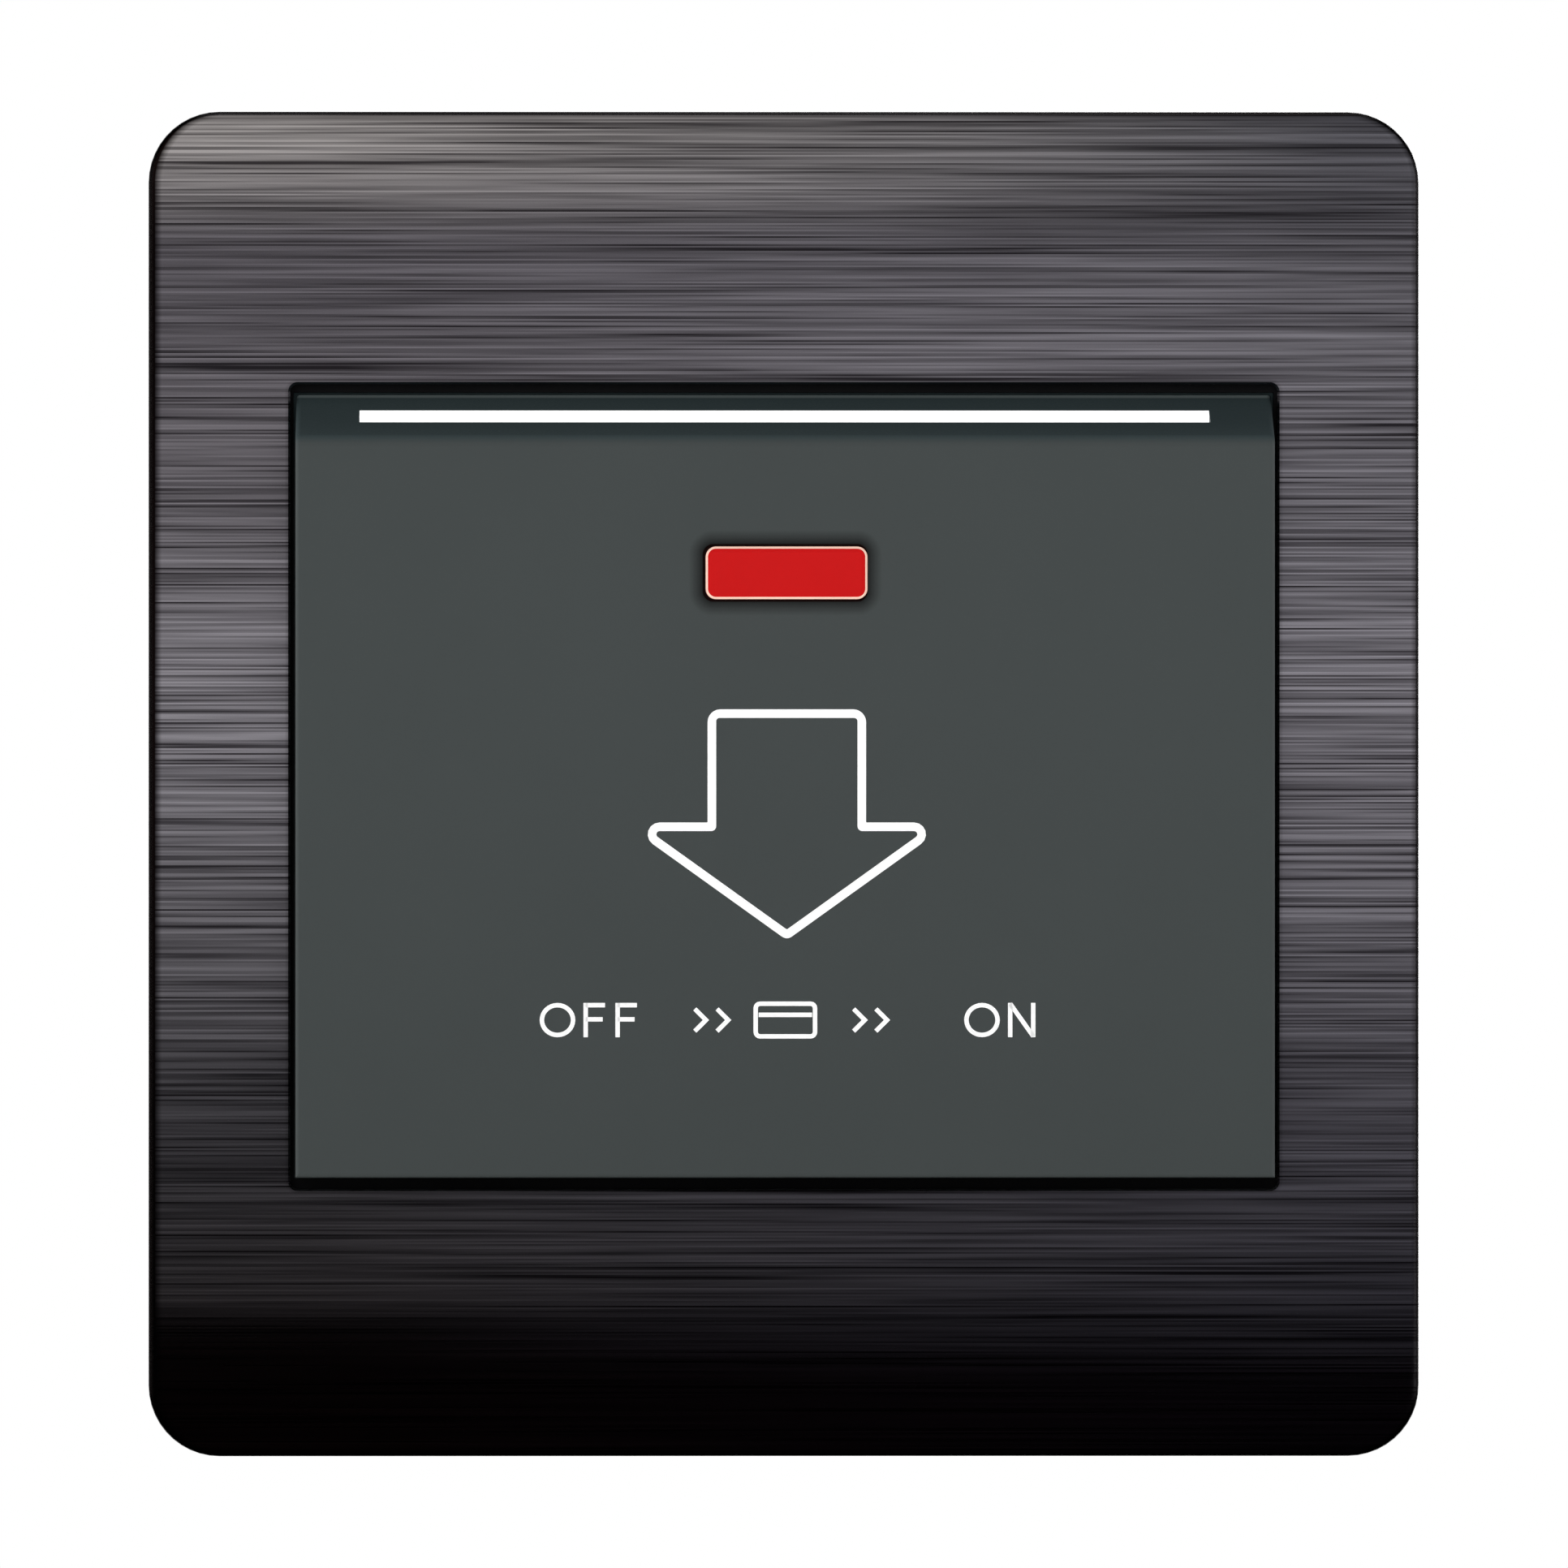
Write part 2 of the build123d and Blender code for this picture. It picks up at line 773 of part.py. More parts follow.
def frame_clips():
    """Four bent spring clips on the carrier, one to each post of the frame."""
    clips = []
    for x in (-post_x, post_x):
        path = clip_path(x)
        start = Plane(origin=path @ 0, x_dir=(1, 0, 0), z_dir=path % 0)
        clip = sweep(start * Rectangle(clip_width, clip_thickness), path=path)
        clips += [clip, mirror(clip, about=Plane.XY)]
    return joined(clips)


def stack_points():
    """Centres of the four screws that clamp housing, carrier and channel together."""
    return [(x, z) for x in (-stack_x, stack_x) for z in (stack_bottom_z, stack_top_z)]


def card_channel():
    """Inner moulding: the card's back wall with rails and stop, and a box that holds the lever."""
    plate = block(
        (-rail_outer, rail_outer),
        (channel_face, channel_back),
        (channel_bottom, channel_plate_top),
    )
    rail_front = slot_front + rail_play
    rail = through(
        (rail_inner, channel_bottom),
        (rail_outer, channel_bottom),
        (rail_outer, channel_plate_top),
        (rail_outer - rail_play, channel_plate_top),
        (rail_inner, channel_plate_top - rail_lead),
    )
    rails = along_y(rail, channel_face, rail_front)
    rails -= block((0, plate_half), (pocket_front, channel_face), (-rail_gap, rail_gap))
    channel = plate + mirrored_x(rails)
    channel += block(
        (-rail_outer, rail_outer),
        (rail_front - stop_rise, channel_face),
        (channel_bottom, stop_top),
    )
    box_outer = block(
        (-block_half, block_half),
        (channel_face, carrier_front),
        (channel_bottom, channel_top),
    )
    box_inner = block(
        (-block_half + channel_wall, block_half - channel_wall),
        (channel_back, overrun),
        (channel_bottom + channel_wall, channel_top - channel_wall),
    )
    mouth = block(
        (-plate_half, plate_half),
        (channel_face - overrun, channel_back),
        (channel_plate_top, channel_top + overrun),
    )
    mouth += block(
        (-block_half + channel_wall, block_half - channel_wall),
        (channel_face, channel_back + overrun),
        (channel_plate_top, channel_top - channel_wall),
    )
    channel += box_outer - box_inner - mouth
    apron_half_height = cavity_half_height + apron_lap
    apron = block(
        (-block_half, block_half),
        (carrier_front - apron_thickness, carrier_front),
        (-apron_half_height, apron_half_height),
    )
    apron -= block(
        (-block_half + channel_wall, block_half - channel_wall),
        (channel_back, overrun),
        (channel_bottom + channel_wall, channel_top - channel_wall),
    )
    channel += apron
    for x in (-mount_x, mount_x):
        channel -= rod_y(x, 0, screw_access, overrun, pocket_front)
    bosses = [rod_y(x, z, boss_radius, carrier_front, channel_back) for x, z in stack_points()]
    room = block(
        (-block_half, block_half),
        (channel_back, carrier_front),
        (channel_bottom, channel_top),
    )
    channel += joined(bosses) & room
    stack_bore = stack_screw_radius + pin_play
    for x, z in stack_points():
        channel -= rod_y(x, z, stack_bore, carrier_front + overrun, carrier_front - stack_grip)
    led_bore = led_screw_radius + pin_play
    for x in (-led_screw_x, led_screw_x):
        channel += rod_y(x, lens_z, led_boss_radius, led_board_front, channel_back)
        channel -= rod_y(x, lens_z, led_bore, overrun, led_board_back - led_screw_length)
    channel -= block(
        (-led_window_width / 2, led_window_width / 2),
        (channel_face - overrun, channel_back + overrun),
        (lens_z - led_window_height / 2, lens_z + led_window_height / 2),
    )
    channel -= block(
        (-lever_width / 2 - lever_window_play, lever_width / 2 + lever_window_play),
        (channel_face - overrun, channel_back + overrun),
        (nose_z - nose_drop - lever_window_play, nose_z + nose_rise + lever_window_play),
    )
    return channel + lever_ears() + spring_rest()


def ear_limits():
    """X limits of the left and right ears that hold the lever's pin."""
    left = -lever_width / 2 - ear_play
    right = lever_width / 2 + ear_play + spring_room()
    return (left - ear_thickness, left), (right, right + ear_thickness)


def spring_room():
    """Length of the lever's spring along its pin, with play at both ends."""
    return spring_turns * spring_pitch + spring_wire + 2 * ear_play


def lever_ears():
    """Two ears behind the card's back wall, bored for the lever's pin."""
    profile = Pos(pivot_y, lever_pivot_z) * Circle(ear_width / 2)
    profile += through(
        (channel_back, lever_pivot_z - ear_width / 2),
        (pivot_y, lever_pivot_z - ear_width / 2),
        (pivot_y, lever_pivot_z + ear_width / 2),
        (channel_back, lever_pivot_z + ear_width / 2),
    )
    profile -= Pos(pivot_y, lever_pivot_z) * Circle(pin_radius)
    return joined([along_x(profile, x0, x1) for x0, x1 in ear_limits()])


def spring_rest():
    """Pad behind the card's back wall that the spring's upper leg bears on."""
    top = lever_pivot_z + spring_leg
    return block(
        (spring_start_x - spring_rest_width / 2, spring_start_x + spring_rest_width / 2),
        (channel_back, spring_leg_y - spring_wire / 2 - spring_peg_gap),
        (top - spring_overhang - spring_rest_height, top - spring_overhang),
    )


def card_lever():
    """Lever that the card pushes back: barrel, arm, rounded nose and the pad on the plunger."""
    tip_y = channel_face - nose_reach
    arm = Pos(pivot_y, lever_pivot_z) * Circle(lever_barrel)
    arm += through(
        (lever_front, lever_pivot_z),
        (lever_back, lever_pivot_z),
        (lever_back, nose_z - nose_drop),
        (lever_front, nose_z - nose_drop),
    )
    nose = through(
        (lever_front, nose_z + nose_rise),
        (tip_y, nose_z),
        (lever_front, nose_z - nose_drop),
    )
    nose = fillet(nose.vertices().sort_by(Axis.X)[0], radius=nose_radius)
    arm += nose
    lever = along_x(arm, -lever_width / 2, lever_width / 2)
    lever += block(
        (-lever_width / 2, lever_width / 2),
        (lever_back, pad_face),
        (switch_z - pad_height / 2, switch_z + pad_height / 2),
    )
    peg_z = lever_pivot_z - spring_leg + spring_overhang + spring_peg_radius
    lever += along_x(Pos(peg_y, peg_z) * Circle(spring_peg_radius), 0, spring_end_x + spring_wire)
    bore = Pos(pivot_y, lever_pivot_z) * Circle(pin_radius + pin_play)
    return lever - along_x(bore, -plate_half, plate_half)


def lever_pin():
    """Steel pin through both ears and the lever."""
    (left, _), (_, right) = ear_limits()
    outline = Pos(pivot_y, lever_pivot_z) * Circle(pin_radius)
    return along_x(outline, left - pin_overhang, right + pin_overhang)


def lever_spring():
    """Torsion spring on the pin: the coil, a leg up to its rest and a leg down to the lever's peg."""
    coil = Helix(spring_pitch, spring_turns * spring_pitch, spring_radius)
    coil = Plane((spring_start_x, pivot_y, lever_pivot_z), x_dir=(0, -1, 0), z_dir=(1, 0, 0)) * coil
    start = Plane(origin=coil @ 0, z_dir=coil % 0) * RegularPolygon(spring_wire / 2, wire_sides)
    end = Plane(origin=coil @ 1, z_dir=coil % 1) * RegularPolygon(spring_wire / 2, wire_sides)
    print("least gap between the spring's turns", round(coil_gap(coil), 3))
    spring = sweep(start, path=coil, is_frenet=True)
    upper = extrude(start, amount=spring_leg, dir=(0, 0, 1))
    return spring + upper + extrude(end, amount=spring_leg, dir=(0, 0, -1))


def coil_gap(coil, steps=48):
    """Least gap between one turn of a coil's wire and the next, measured on points."""
    count = steps * spring_turns
    points = [tuple(coil @ (i / count)) for i in range(count + 1)]
    gaps = [
        dist(points[i], points[j])
        for i in range(len(points))
        for j in range(i + steps // 2, len(points))
    ]
    return min(gaps) - spring_wire


def switch_case():
    """Moulded case of the snap switch, open on top for the works."""
    top = switch_high - switch_cover_thickness
    case = block((switch_left, switch_right), (switch_front, switch_back), (switch_low, top))
    cavity_back = switch_front + switch_wall + switch_cavity_depth
    case -= block(
        (switch_left + switch_wall, switch_right - switch_wall),
        (switch_front + switch_wall, cavity_back),
        (switch_low + switch_wall, top + overrun),
    )
    bore = rod_y(0, switch_z, plunger_radius + plunger_bore_play, cavity_back, switch_front - overrun)
    case -= bore
    for leg_x in blade_legs():
        case -= block(
            (leg_x - blade_thickness / 2 - blade_play, leg_x + blade_thickness / 2 + blade_play),
            (cavity_back - overrun, switch_back + overrun),
            (switch_z - blade_width / 2 - blade_play, switch_z + blade_width / 2 + blade_play),
        )
    return case - switch_holes()


def switch_holes():
    """The two fixing holes through the switch."""
    y = switch_back - switch_hole_edge
    places = (switch_left + switch_hole_edge * 2, switch_right - switch_hole_edge * 2)
    holes = [Pos(x, y) * Circle(switch_hole_radius) for x in places]
    return joined([along_z(h, switch_low - overrun, switch_high + overrun) for h in holes])


def switch_cover():
    """Flat lid that closes the snap switch."""
    low = switch_high - switch_cover_thickness
    lid = block((switch_left, switch_right), (switch_front, switch_back), (low, switch_high))
    return lid - switch_holes()


def switch_plunger():
    """Bevelled plunger with the collar that keeps it in the case."""
    shank = rod_y(0, switch_z, plunger_radius, plunger_end, plunger_tip)
    shank = chamfer(shank.faces().sort_by(Axis.Y)[0].edges(), length=plunger_bevel)
    collar_front = plunger_end - plunger_collar_height
    return shank + rod_y(0, switch_z, plunger_collar, plunger_end, collar_front)


def blade_legs():
    """X of the three terminal legs: common, resting contact and working contact."""
    common = leaf_left - blade_thickness / 2
    resting = leaf_tip + blade_clear + blade_thickness / 2
    working = contact_x - working_inset
    return common, resting, working


def contact_leaf():
    """Moving blade between the resting and the working contact."""
    return block(
        (leaf_left + leaf_root_gap, leaf_tip),
        (leaf_front, leaf_back),
        (switch_z - leaf_width / 2, switch_z + leaf_width / 2),
    )


def leaf_contacts():
    """Silver rivet heads on both faces of the moving blade."""
    front = rod_y(contact_x, switch_z, contact_radius, leaf_front, leaf_front - contact_height)
    back = rod_y(contact_x, switch_z, contact_radius, leaf_back + contact_height, leaf_back)
    return joined([front, back])


def switch_terminals():
    """Common, resting and working terminals with their legs to the board."""
    common, resting, working = blade_legs()
    z_range = (switch_z - blade_width / 2, switch_z + blade_width / 2)
    half = blade_thickness / 2
    common_blade = block((common - half, common + half), (leaf_front, board_back), z_range)
    rest_face = leaf_front - contact_height - contact_air
    rest_blade = block((resting - half, resting + half), (rest_face - blade_thickness, board_back), z_range)
    rest_blade += block(
        (contact_x - contact_radius, resting),
        (rest_face - blade_thickness, rest_face),
        z_range,
    )
    work_face = leaf_back + contact_height + contact_travel + contact_air
    work_blade = block((working - half, working + half), (work_face, board_back), z_range)
    work_blade += block(
        (working - half, contact_x + contact_radius),
        (work_face, work_face + blade_thickness),
        z_range,
    )
    return joined([common_blade, rest_blade, work_blade])


def circuit_board():
    """Main board behind the switch, cut round the screw columns."""
    outline = RectangleRounded(2 * board_half, 2 * board_half_height, board_corner)
    board = along_y(outline, board_back, board_front)
    for x, z in stack_points():
        board -= rod_y(x, z, column_radius + column_play, board_back + overrun, board_front - overrun)
    for leg_x in blade_legs():
        board -= block(
            (leg_x - blade_thickness / 2 - blade_play, leg_x + blade_thickness / 2 + blade_play),
            (board_front - overrun, board_back + overrun),
            (switch_z - blade_width / 2 - blade_play, switch_z + blade_width / 2 + blade_play),
        )
    return board


def relay_box(margin, back, front):
    """The relay's outline, drawn in by a margin, between two depths."""
    return block(
        (relay_left + margin, relay_right - margin),
        (front, back),
        (relay_low + margin, relay_high - margin),
    )


def relay_cover():
    """Moulded cover of the relay, with bevelled edges."""
    cover = relay_box(0, relay_floor, relay_front)
    cover = chamfer(cover.faces().sort_by(Axis.Y)[0].edges(), length=relay_edge)
    return cover - relay_box(relay_wall, relay_floor + overrun, relay_front + relay_wall)


def relay_base():
    """Moulded base of the relay, slotted for the contact bars."""
    base = relay_box(0, board_front, relay_floor)
    for bar in contact_bars(pin_play):
        base -= bar
    return base


def relay_bobbin():
    """Spool of the relay's coil."""
    tube = Pos(coil_y, relay_z) * (Circle(bobbin_tube) - Circle(core_radius))
    side = 2 * bobbin_flange
    end = Pos(coil_y, relay_z) * (Rectangle(side, side) - Circle(core_radius))
    spool = along_x(tube, bobbin_left, bobbin_right)
    spool += along_x(end, bobbin_left, bobbin_left + bobbin_flange_thickness)
    return spool + along_x(end, bobbin_right - bobbin_flange_thickness, bobbin_right)


def relay_winding():
    """Copper winding on the spool."""
    ring = Pos(coil_y, relay_z) * (Circle(winding_radius) - Circle(bobbin_tube))
    return along_x(ring, bobbin_left + bobbin_flange_thickness, bobbin_right - bobbin_flange_thickness)


def relay_yoke():
    """Iron core and the bent yoke that the armature hinges on."""
    z_range = (relay_z - yoke_width / 2, relay_z + yoke_width / 2)
    yoke = block((yoke_left, bobbin_left), (yoke_front, coil_y + bobbin_flange / 2), z_range)
    yoke += block((yoke_left, armature_left - hinge_play), (yoke_front, yoke_inner), z_range)
    return yoke + along_x(Pos(coil_y, relay_z) * Circle(core_radius), bobbin_left, pole_x)


def relay_armature():
    """Iron plate at the yoke's end, pulled to the pole when the coil is on."""
    return block(
        (armature_left, armature_right),
        (yoke_front, coil_y + armature_short),
        (relay_z - yoke_width / 2, relay_z + yoke_width / 2),
    )


def relay_blade():
    """Contact spring riveted along the armature, with a rivet on each face."""
    blade = block(
        (armature_right, blade_right),
        (yoke_inner, blade_end),
        (relay_z - blade_spring_width / 2, relay_z + blade_spring_width / 2),
    )
    rivet = Pos(contact_y, relay_z) * Circle(rivet_radius)
    return blade + along_x(rivet, armature_right - rivet_height, blade_right + rivet_height)


def contact_bars(margin):
    """The relay's resting and working contact bars, grown by a margin."""
    resting = blade_right + 2 * rivet_height + rivet_air
    working = armature_right - 2 * rivet_height - rivet_gap - contact_bar
    z_range = (relay_z - contact_bar_width / 2 - margin, relay_z + contact_bar_width / 2 + margin)
    y_range = (contact_y - rivet_radius, board_front)
    return [block((x - margin, x + contact_bar + margin), y_range, z_range) for x in (working, resting)]


def relay_contacts():
    """Fixed contacts of the relay on their bars."""
    working, resting = contact_bars(0)
    rivet = Pos(contact_y, relay_z) * Circle(rivet_radius)
    inner = armature_right - rivet_height - rivet_gap
    outer = blade_right + rivet_height + rivet_air
    working += along_x(rivet, inner - rivet_height, inner)
    resting += along_x(rivet, outer, outer + rivet_height)
    return working + resting


def film_capacitor():
    """Boxed film capacitor above the relay."""
    body = block(
        (film_left, film_right),
        (board_front - film_depth, board_front),
        (film_low, film_low + film_height),
    )
    return fillet(body.edges().filter_by(Axis.Y), radius=film_edge)


def electrolytic_capacitor():
    """Round can beside the relay, crimped near its base."""
    can = rod_y(can_x, can_z, can_radius, board_front, board_front - can_length)
    crimp = board_front - can_radius / 2
    ring = Circle(can_radius + can_groove) - Circle(can_radius - can_groove)
    return can - along_y(Pos(can_x, can_z) * ring, crimp, crimp - 2 * can_groove)


def varistor():
    """Surge disc standing on two leads."""
    y = board_front - lead_stand - disc_radius
    z = film_low + film_height / 2
    outline = Pos(disc_x, y) * Circle(disc_radius)
    disc = along_z(outline, z - disc_thickness / 2, z + disc_thickness / 2)
    disc = chamfer(disc.edges().filter_by(GeomType.CIRCLE), length=disc_bevel)
    for x in (disc_x - disc_radius / 2, disc_x + disc_radius / 2):
        disc += lead((x, z), y, board_front)
    return disc


def lead(place, y0, y1):
    """One square-cut lead along Y at (x, z)."""
    x, z = place
    limits = (x - lead_radius, x + lead_radius), (z - lead_radius, z + lead_radius)
    return block(limits[0], (min(y0, y1), max(y0, y1)), limits[1])


def pin_header():
    """Row of pins from the main board to the small lamp board."""
    base = block(
        (header_x - header_pitch / 2, header_x + header_last + header_pitch / 2),
        (board_front - header_base, board_front),
        (header_z - header_pitch / 2, header_z + header_pitch / 2),
    )
    half = header_pin / 2
    z_range = (header_z - half, header_z + half)
    for i in range(header_pins):
        x = header_x + i * header_pitch
        base += block((x - half, x + half), (led_board_back, board_front), z_range)
    return base


def resistors():
    """Axial resistors lying on the board's back, with bent leads."""
    rows = []
    y = board_back + resistor_radius + pin_play
    for i in range(resistor_count):
        z = relay_low + i * resistor_pitch
        outline = Pos(y, z) * Circle(resistor_radius)
        body = along_x(outline, resistor_x - resistor_length / 2, resistor_x + resistor_length / 2)
        reach = resistor_length - lead_radius
        body += block(
            (resistor_x - reach, resistor_x + reach),
            (y - lead_radius, y + lead_radius),
            (z - lead_radius, z + lead_radius),
        )
        for x in (resistor_x - reach, resistor_x + reach):
            body += lead((x, z), board_back, y + lead_radius)
        rows.append(body)
    return joined(rows)


def delay_chip():
    """Dual-row timer chip on the board's back, with its notch and pins."""
    front = board_back + chip_lift
    body = block(
        (chip_x - chip_length / 2, chip_x + chip_length / 2),
        (front, front + chip_height),
        (chip_z - chip_width / 2, chip_z + chip_width / 2),
    )
    back = front + chip_height
    body -= rod_y(chip_x - chip_length / 2, chip_z, chip_notch, back + overrun, back - chip_notch)
    for i in range(chip_pins):
        x = chip_x + (i - (chip_pins - 1) / 2) * chip_pitch
        for side in (-1, 1):
            z = chip_z + side * (chip_width + chip_pin_thickness) / 2
            body += block(
                (x - chip_pin_width / 2, x + chip_pin_width / 2),
                (board_back, front + chip_height / 2),
                (z - chip_pin_thickness / 2, z + chip_pin_thickness / 2),
            )
    return body


def driver_transistor():
    """Small transistor with one flat side, standing on three leads."""
    flat = Pos(0, transistor_width - transistor_flat / 2) * Rectangle(transistor_width, transistor_width)
    outline = Circle(transistor_width / 2) - flat
    body = along_y(
        Pos(transistor_x, transistor_z) * outline,
        board_back + lead_stand + transistor_height,
        board_back + lead_stand,
    )
    for i in (-1, 0, 1):
        x = transistor_x + i * transistor_pitch
        body += lead((x, transistor_z), board_back, board_back + lead_stand)
    return body


def rectifier():
    """Bridge rectifier on the board's back."""
    body = block(
        (rectifier_x - rectifier_length / 2, rectifier_x + rectifier_length / 2),
        (board_back, board_back + rectifier_depth),
        (rectifier_z - rectifier_height / 2, rectifier_z + rectifier_height / 2),
    )
    return chamfer(body.faces().sort_by(Axis.Y)[-1].edges(), length=relay_edge)


def led_board():
    """Small board behind the slot that carries the lamps."""
    middle = (led_board_low + led_board_top) / 2
    outline = Pos(0, middle) * RectangleRounded(2 * led_board_half, led_board_height, led_board_corner)
    board = along_y(outline, led_board_back, led_board_front)
    for x in (-led_screw_x, led_screw_x):
        board -= rod_y(x, lens_z, led_screw_radius + pin_play, overrun, led_board_front - overrun)
    return board


def slot_leds():
    """Three lamps behind the light guide, the outer two above the board's screws."""
    return joined([lamp(x, white_led_z) for x in (-led_screw_x, 0, led_screw_x)])


def indicator_led():
    """Lamp behind the red lens."""
    return lamp(0, lens_z)


def lamp(x, z):
    """One surface-mounted lamp with a bevelled face."""
    body = block(
        (x - led_length / 2, x + led_length / 2),
        (led_face, led_board_front),
        (z - led_width / 2, z + led_width / 2),
    )
    return chamfer(body.faces().sort_by(Axis.Y)[0].edges(), length=led_edge_gap)


def cross_recess(x, z, front, direction):
    """Cross-shaped driver recess, cut from the plane Y = front into a head."""
    back = front + direction * recess_depth
    y_range = (min(front - direction * overrun, back), max(front - direction * overrun, back))
    half, reach = recess_width / 2, recess_length / 2
    cross = block((x - half, x + half), y_range, (z - reach, z + reach))
    return cross + block((x - reach, x + reach), y_range, (z - half, z + half))


def led_board_screws():
    """Two screws that hold the lamp board to the channel."""
    screws = []
    top = led_board_back + led_screw_head_height
    tip = led_board_back - led_screw_length + pin_play
    for x in (-led_screw_x, led_screw_x):
        head = rod_y(x, lens_z, led_screw_head, top, led_board_back)
        screws.append(head + rod_y(x, lens_z, led_screw_radius, led_board_back, tip))
    return joined(screws)


def wall_screws():
    """Two pan-head screws that fix the carrier to the wall box, each with a plain neck in the carrier."""
    seat = carrier_front + seat_depth
    screws = []
    for x in (-mount_x, mount_x):
        head = rod_y(x, 0, wall_screw_head, seat, seat - wall_screw_head_height)
        head = chamfer(head.faces().sort_by(Axis.Y)[0].edges(), length=wall_screw_bevel)
        head -= cross_recess(x, 0, seat - wall_screw_head_height, 1)
        head += rod_y(x, 0, wall_screw_neck, -pin_play, seat)
        screws.append(head + rod_y(x, 0, wall_screw_radius, seat + wall_screw_length, -pin_play))
    return joined(screws)


def rear_housing():
    """Deep box behind the carrier, with screw columns, vents and a window for the terminals."""
    outer = RectangleRounded(housing_width, housing_height, housing_corner)
    inner = RectangleRounded(2 * cavity_half, 2 * cavity_half_height, housing_corner - housing_wall)
    housing = along_y(outer, housing_back, housing_front)
    housing -= along_y(inner, housing_back - housing_wall, housing_front - overrun)
    head_seat = housing_back - stack_head_sink
    columns = []
    for x, z in stack_points():
        columns.append(rod_y(x, z, column_radius, housing_back, housing_front))
        columns.append(rod_y(x, z, column_radius + column_step, housing_back, board_back))
    housing += joined(columns) & along_y(inner, housing_back, housing_front)
    catch_back = board_front - catch_play
    catch = through(
        (cavity_half, catch_back),
        (cavity_half - catch_reach, catch_back),
        (cavity_half, catch_back - 2 * catch_reach),
    )
    housing += mirrored_x(along_z(catch, -catch_length / 2, catch_length / 2))
    for x, z in stack_points():
        housing -= rod_y(x, z, stack_hole_radius, housing_back + overrun, housing_front - overrun)
        housing -= rod_y(x, z, stack_head_radius + pin_play, housing_back + overrun, head_seat)
    for i in range(vent_count):
        z = vent_z + (i - (vent_count - 1) / 2) * vent_pitch
        slot = Pos(0, z) * Rectangle(vent_length, vent_width)
        housing -= along_y(slot, housing_back + overrun, housing_back - 2 * housing_wall)
    reach = terminal_half + block_play
    housing -= block(
        (-reach, reach),
        (board_back - block_play, housing_back + overrun),
        (housing_bottom - overrun, housing_bottom + terminal_height + block_play),
    )
    return housing


def stack_screws():
    """Four long screws from the back of the housing into the channel's bosses."""
    head_front = housing_back - stack_head_sink
    tip = carrier_front - stack_grip + pin_play
    screws = []
    for x, z in stack_points():
        head = rod_y(x, z, stack_head_radius, head_front + stack_head_height, head_front)
        head -= cross_recess(x, z, head_front + stack_head_height, -1)
        screws.append(head + rod_y(x, z, stack_screw_radius, head_front, tip))
    return joined(screws)


def terminal_block():
    """Moulded block of wire cells, open below for the wires and behind for the driver."""
    low, high = housing_bottom, housing_bottom + terminal_height
    body = block((-terminal_half, terminal_half), (board_back, housing_back), (low, high))
    cell_half = terminal_pitch / 2 - terminal_side_wall
    for x in terminal_x:
        body -= block(
            (x - cell_half, x + cell_half),
            (board_back - overrun, clamp_back + clamp_play),
            (clamp_low - clamp_play, clamp_low + clamp_height + clamp_play),
        )
        entry = (x - wire_entry / 2, x + wire_entry / 2)
        body -= block(entry, (entry_front, entry_back), (low - overrun, clamp_low))
        mouth = wire_entry + 2 * wire_flare
        centre = Pos(x, entry_front + wire_entry / 2)
        flare = Plane.XY.offset(low) * (centre * Rectangle(mouth, mouth))
        throat = Plane.XY.offset(low + wire_flare) * (centre * Rectangle(wire_entry, wire_entry))
        body -= loft([flare, throat])
        screw_z = clamp_low + clamp_height / 2
        well = terminal_screw_head + terminal_hole_play
        body -= rod_y(x, screw_z, well, housing_back + overrun, clamp_back)
    return body


def terminal_clamps():
    """Brass cage of each terminal, with its solder pin."""
    cages = []
    half, pin_half = clamp_width / 2, pin_side / 2
    bore = terminal_screw_radius + pin_play
    pin_low = clamp_low + clamp_wall
    for x in terminal_x:
        z_range = (clamp_low, clamp_low + clamp_height)
        cage = block((x - half, x + half), (clamp_front, clamp_back), z_range)
        inner = (x - half + clamp_wall - clamp_play, x + half - clamp_wall + clamp_play)
        through_z = (clamp_low - overrun, clamp_low + clamp_height + overrun)
        cage -= block(inner, (entry_front - clamp_play, entry_back), through_z)
        cage -= rod_y(x, clamp_low + clamp_height / 2, bore, clamp_back + overrun, entry_back - overrun)
        pin_z = (pin_low, pin_low + pin_side)
        cages.append(cage + block((x - pin_half, x + pin_half), (board_back, clamp_front), pin_z))
    return joined(cages)


def terminal_screws():
    """Clamping screw of each terminal, backed off ready for a wire."""
    screws = []
    z = clamp_low + clamp_height / 2
    seat = clamp_back + terminal_screw_lift
    for x in terminal_x:
        head = rod_y(x, z, terminal_screw_head, seat + terminal_screw_head_height, seat)
        head -= cross_recess(x, z, seat + terminal_screw_head_height, -1)
        screws.append(head + rod_y(x, z, terminal_screw_radius, seat, entry_back))
    return joined(screws)


PIECES = (
    face_plate,
    snap_frame,
    pocket_cover,
    indicator_lens,
    slot_light_guide,
    carrier,
    frame_clips,
    card_channel,
    card_lever,
    lever_pin,
    lever_spring,
    switch_case,
    switch_cover,
    switch_plunger,
    contact_leaf,
    leaf_contacts,
    switch_terminals,
    circuit_board,
    relay_cover,
    relay_base,
    relay_bobbin,
    relay_winding,
    relay_yoke,
    relay_armature,
    relay_blade,
    relay_contacts,
    film_capacitor,
    electrolytic_capacitor,
    varistor,
    pin_header,
    resistors,
    rectifier,
    delay_chip,
    driver_transistor,
    led_board,
    slot_leds,
    indicator_led,
    led_board_screws,
    wall_screws,
    rear_housing,
    stack_screws,
    terminal_block,
    terminal_clamps,
    terminal_screws,
)

os.makedirs("parts", exist_ok=True)
for make in PIECES:
    export_step(make(), os.path.join("parts", make.__name__ + ".step"))
    print(make.__name__)
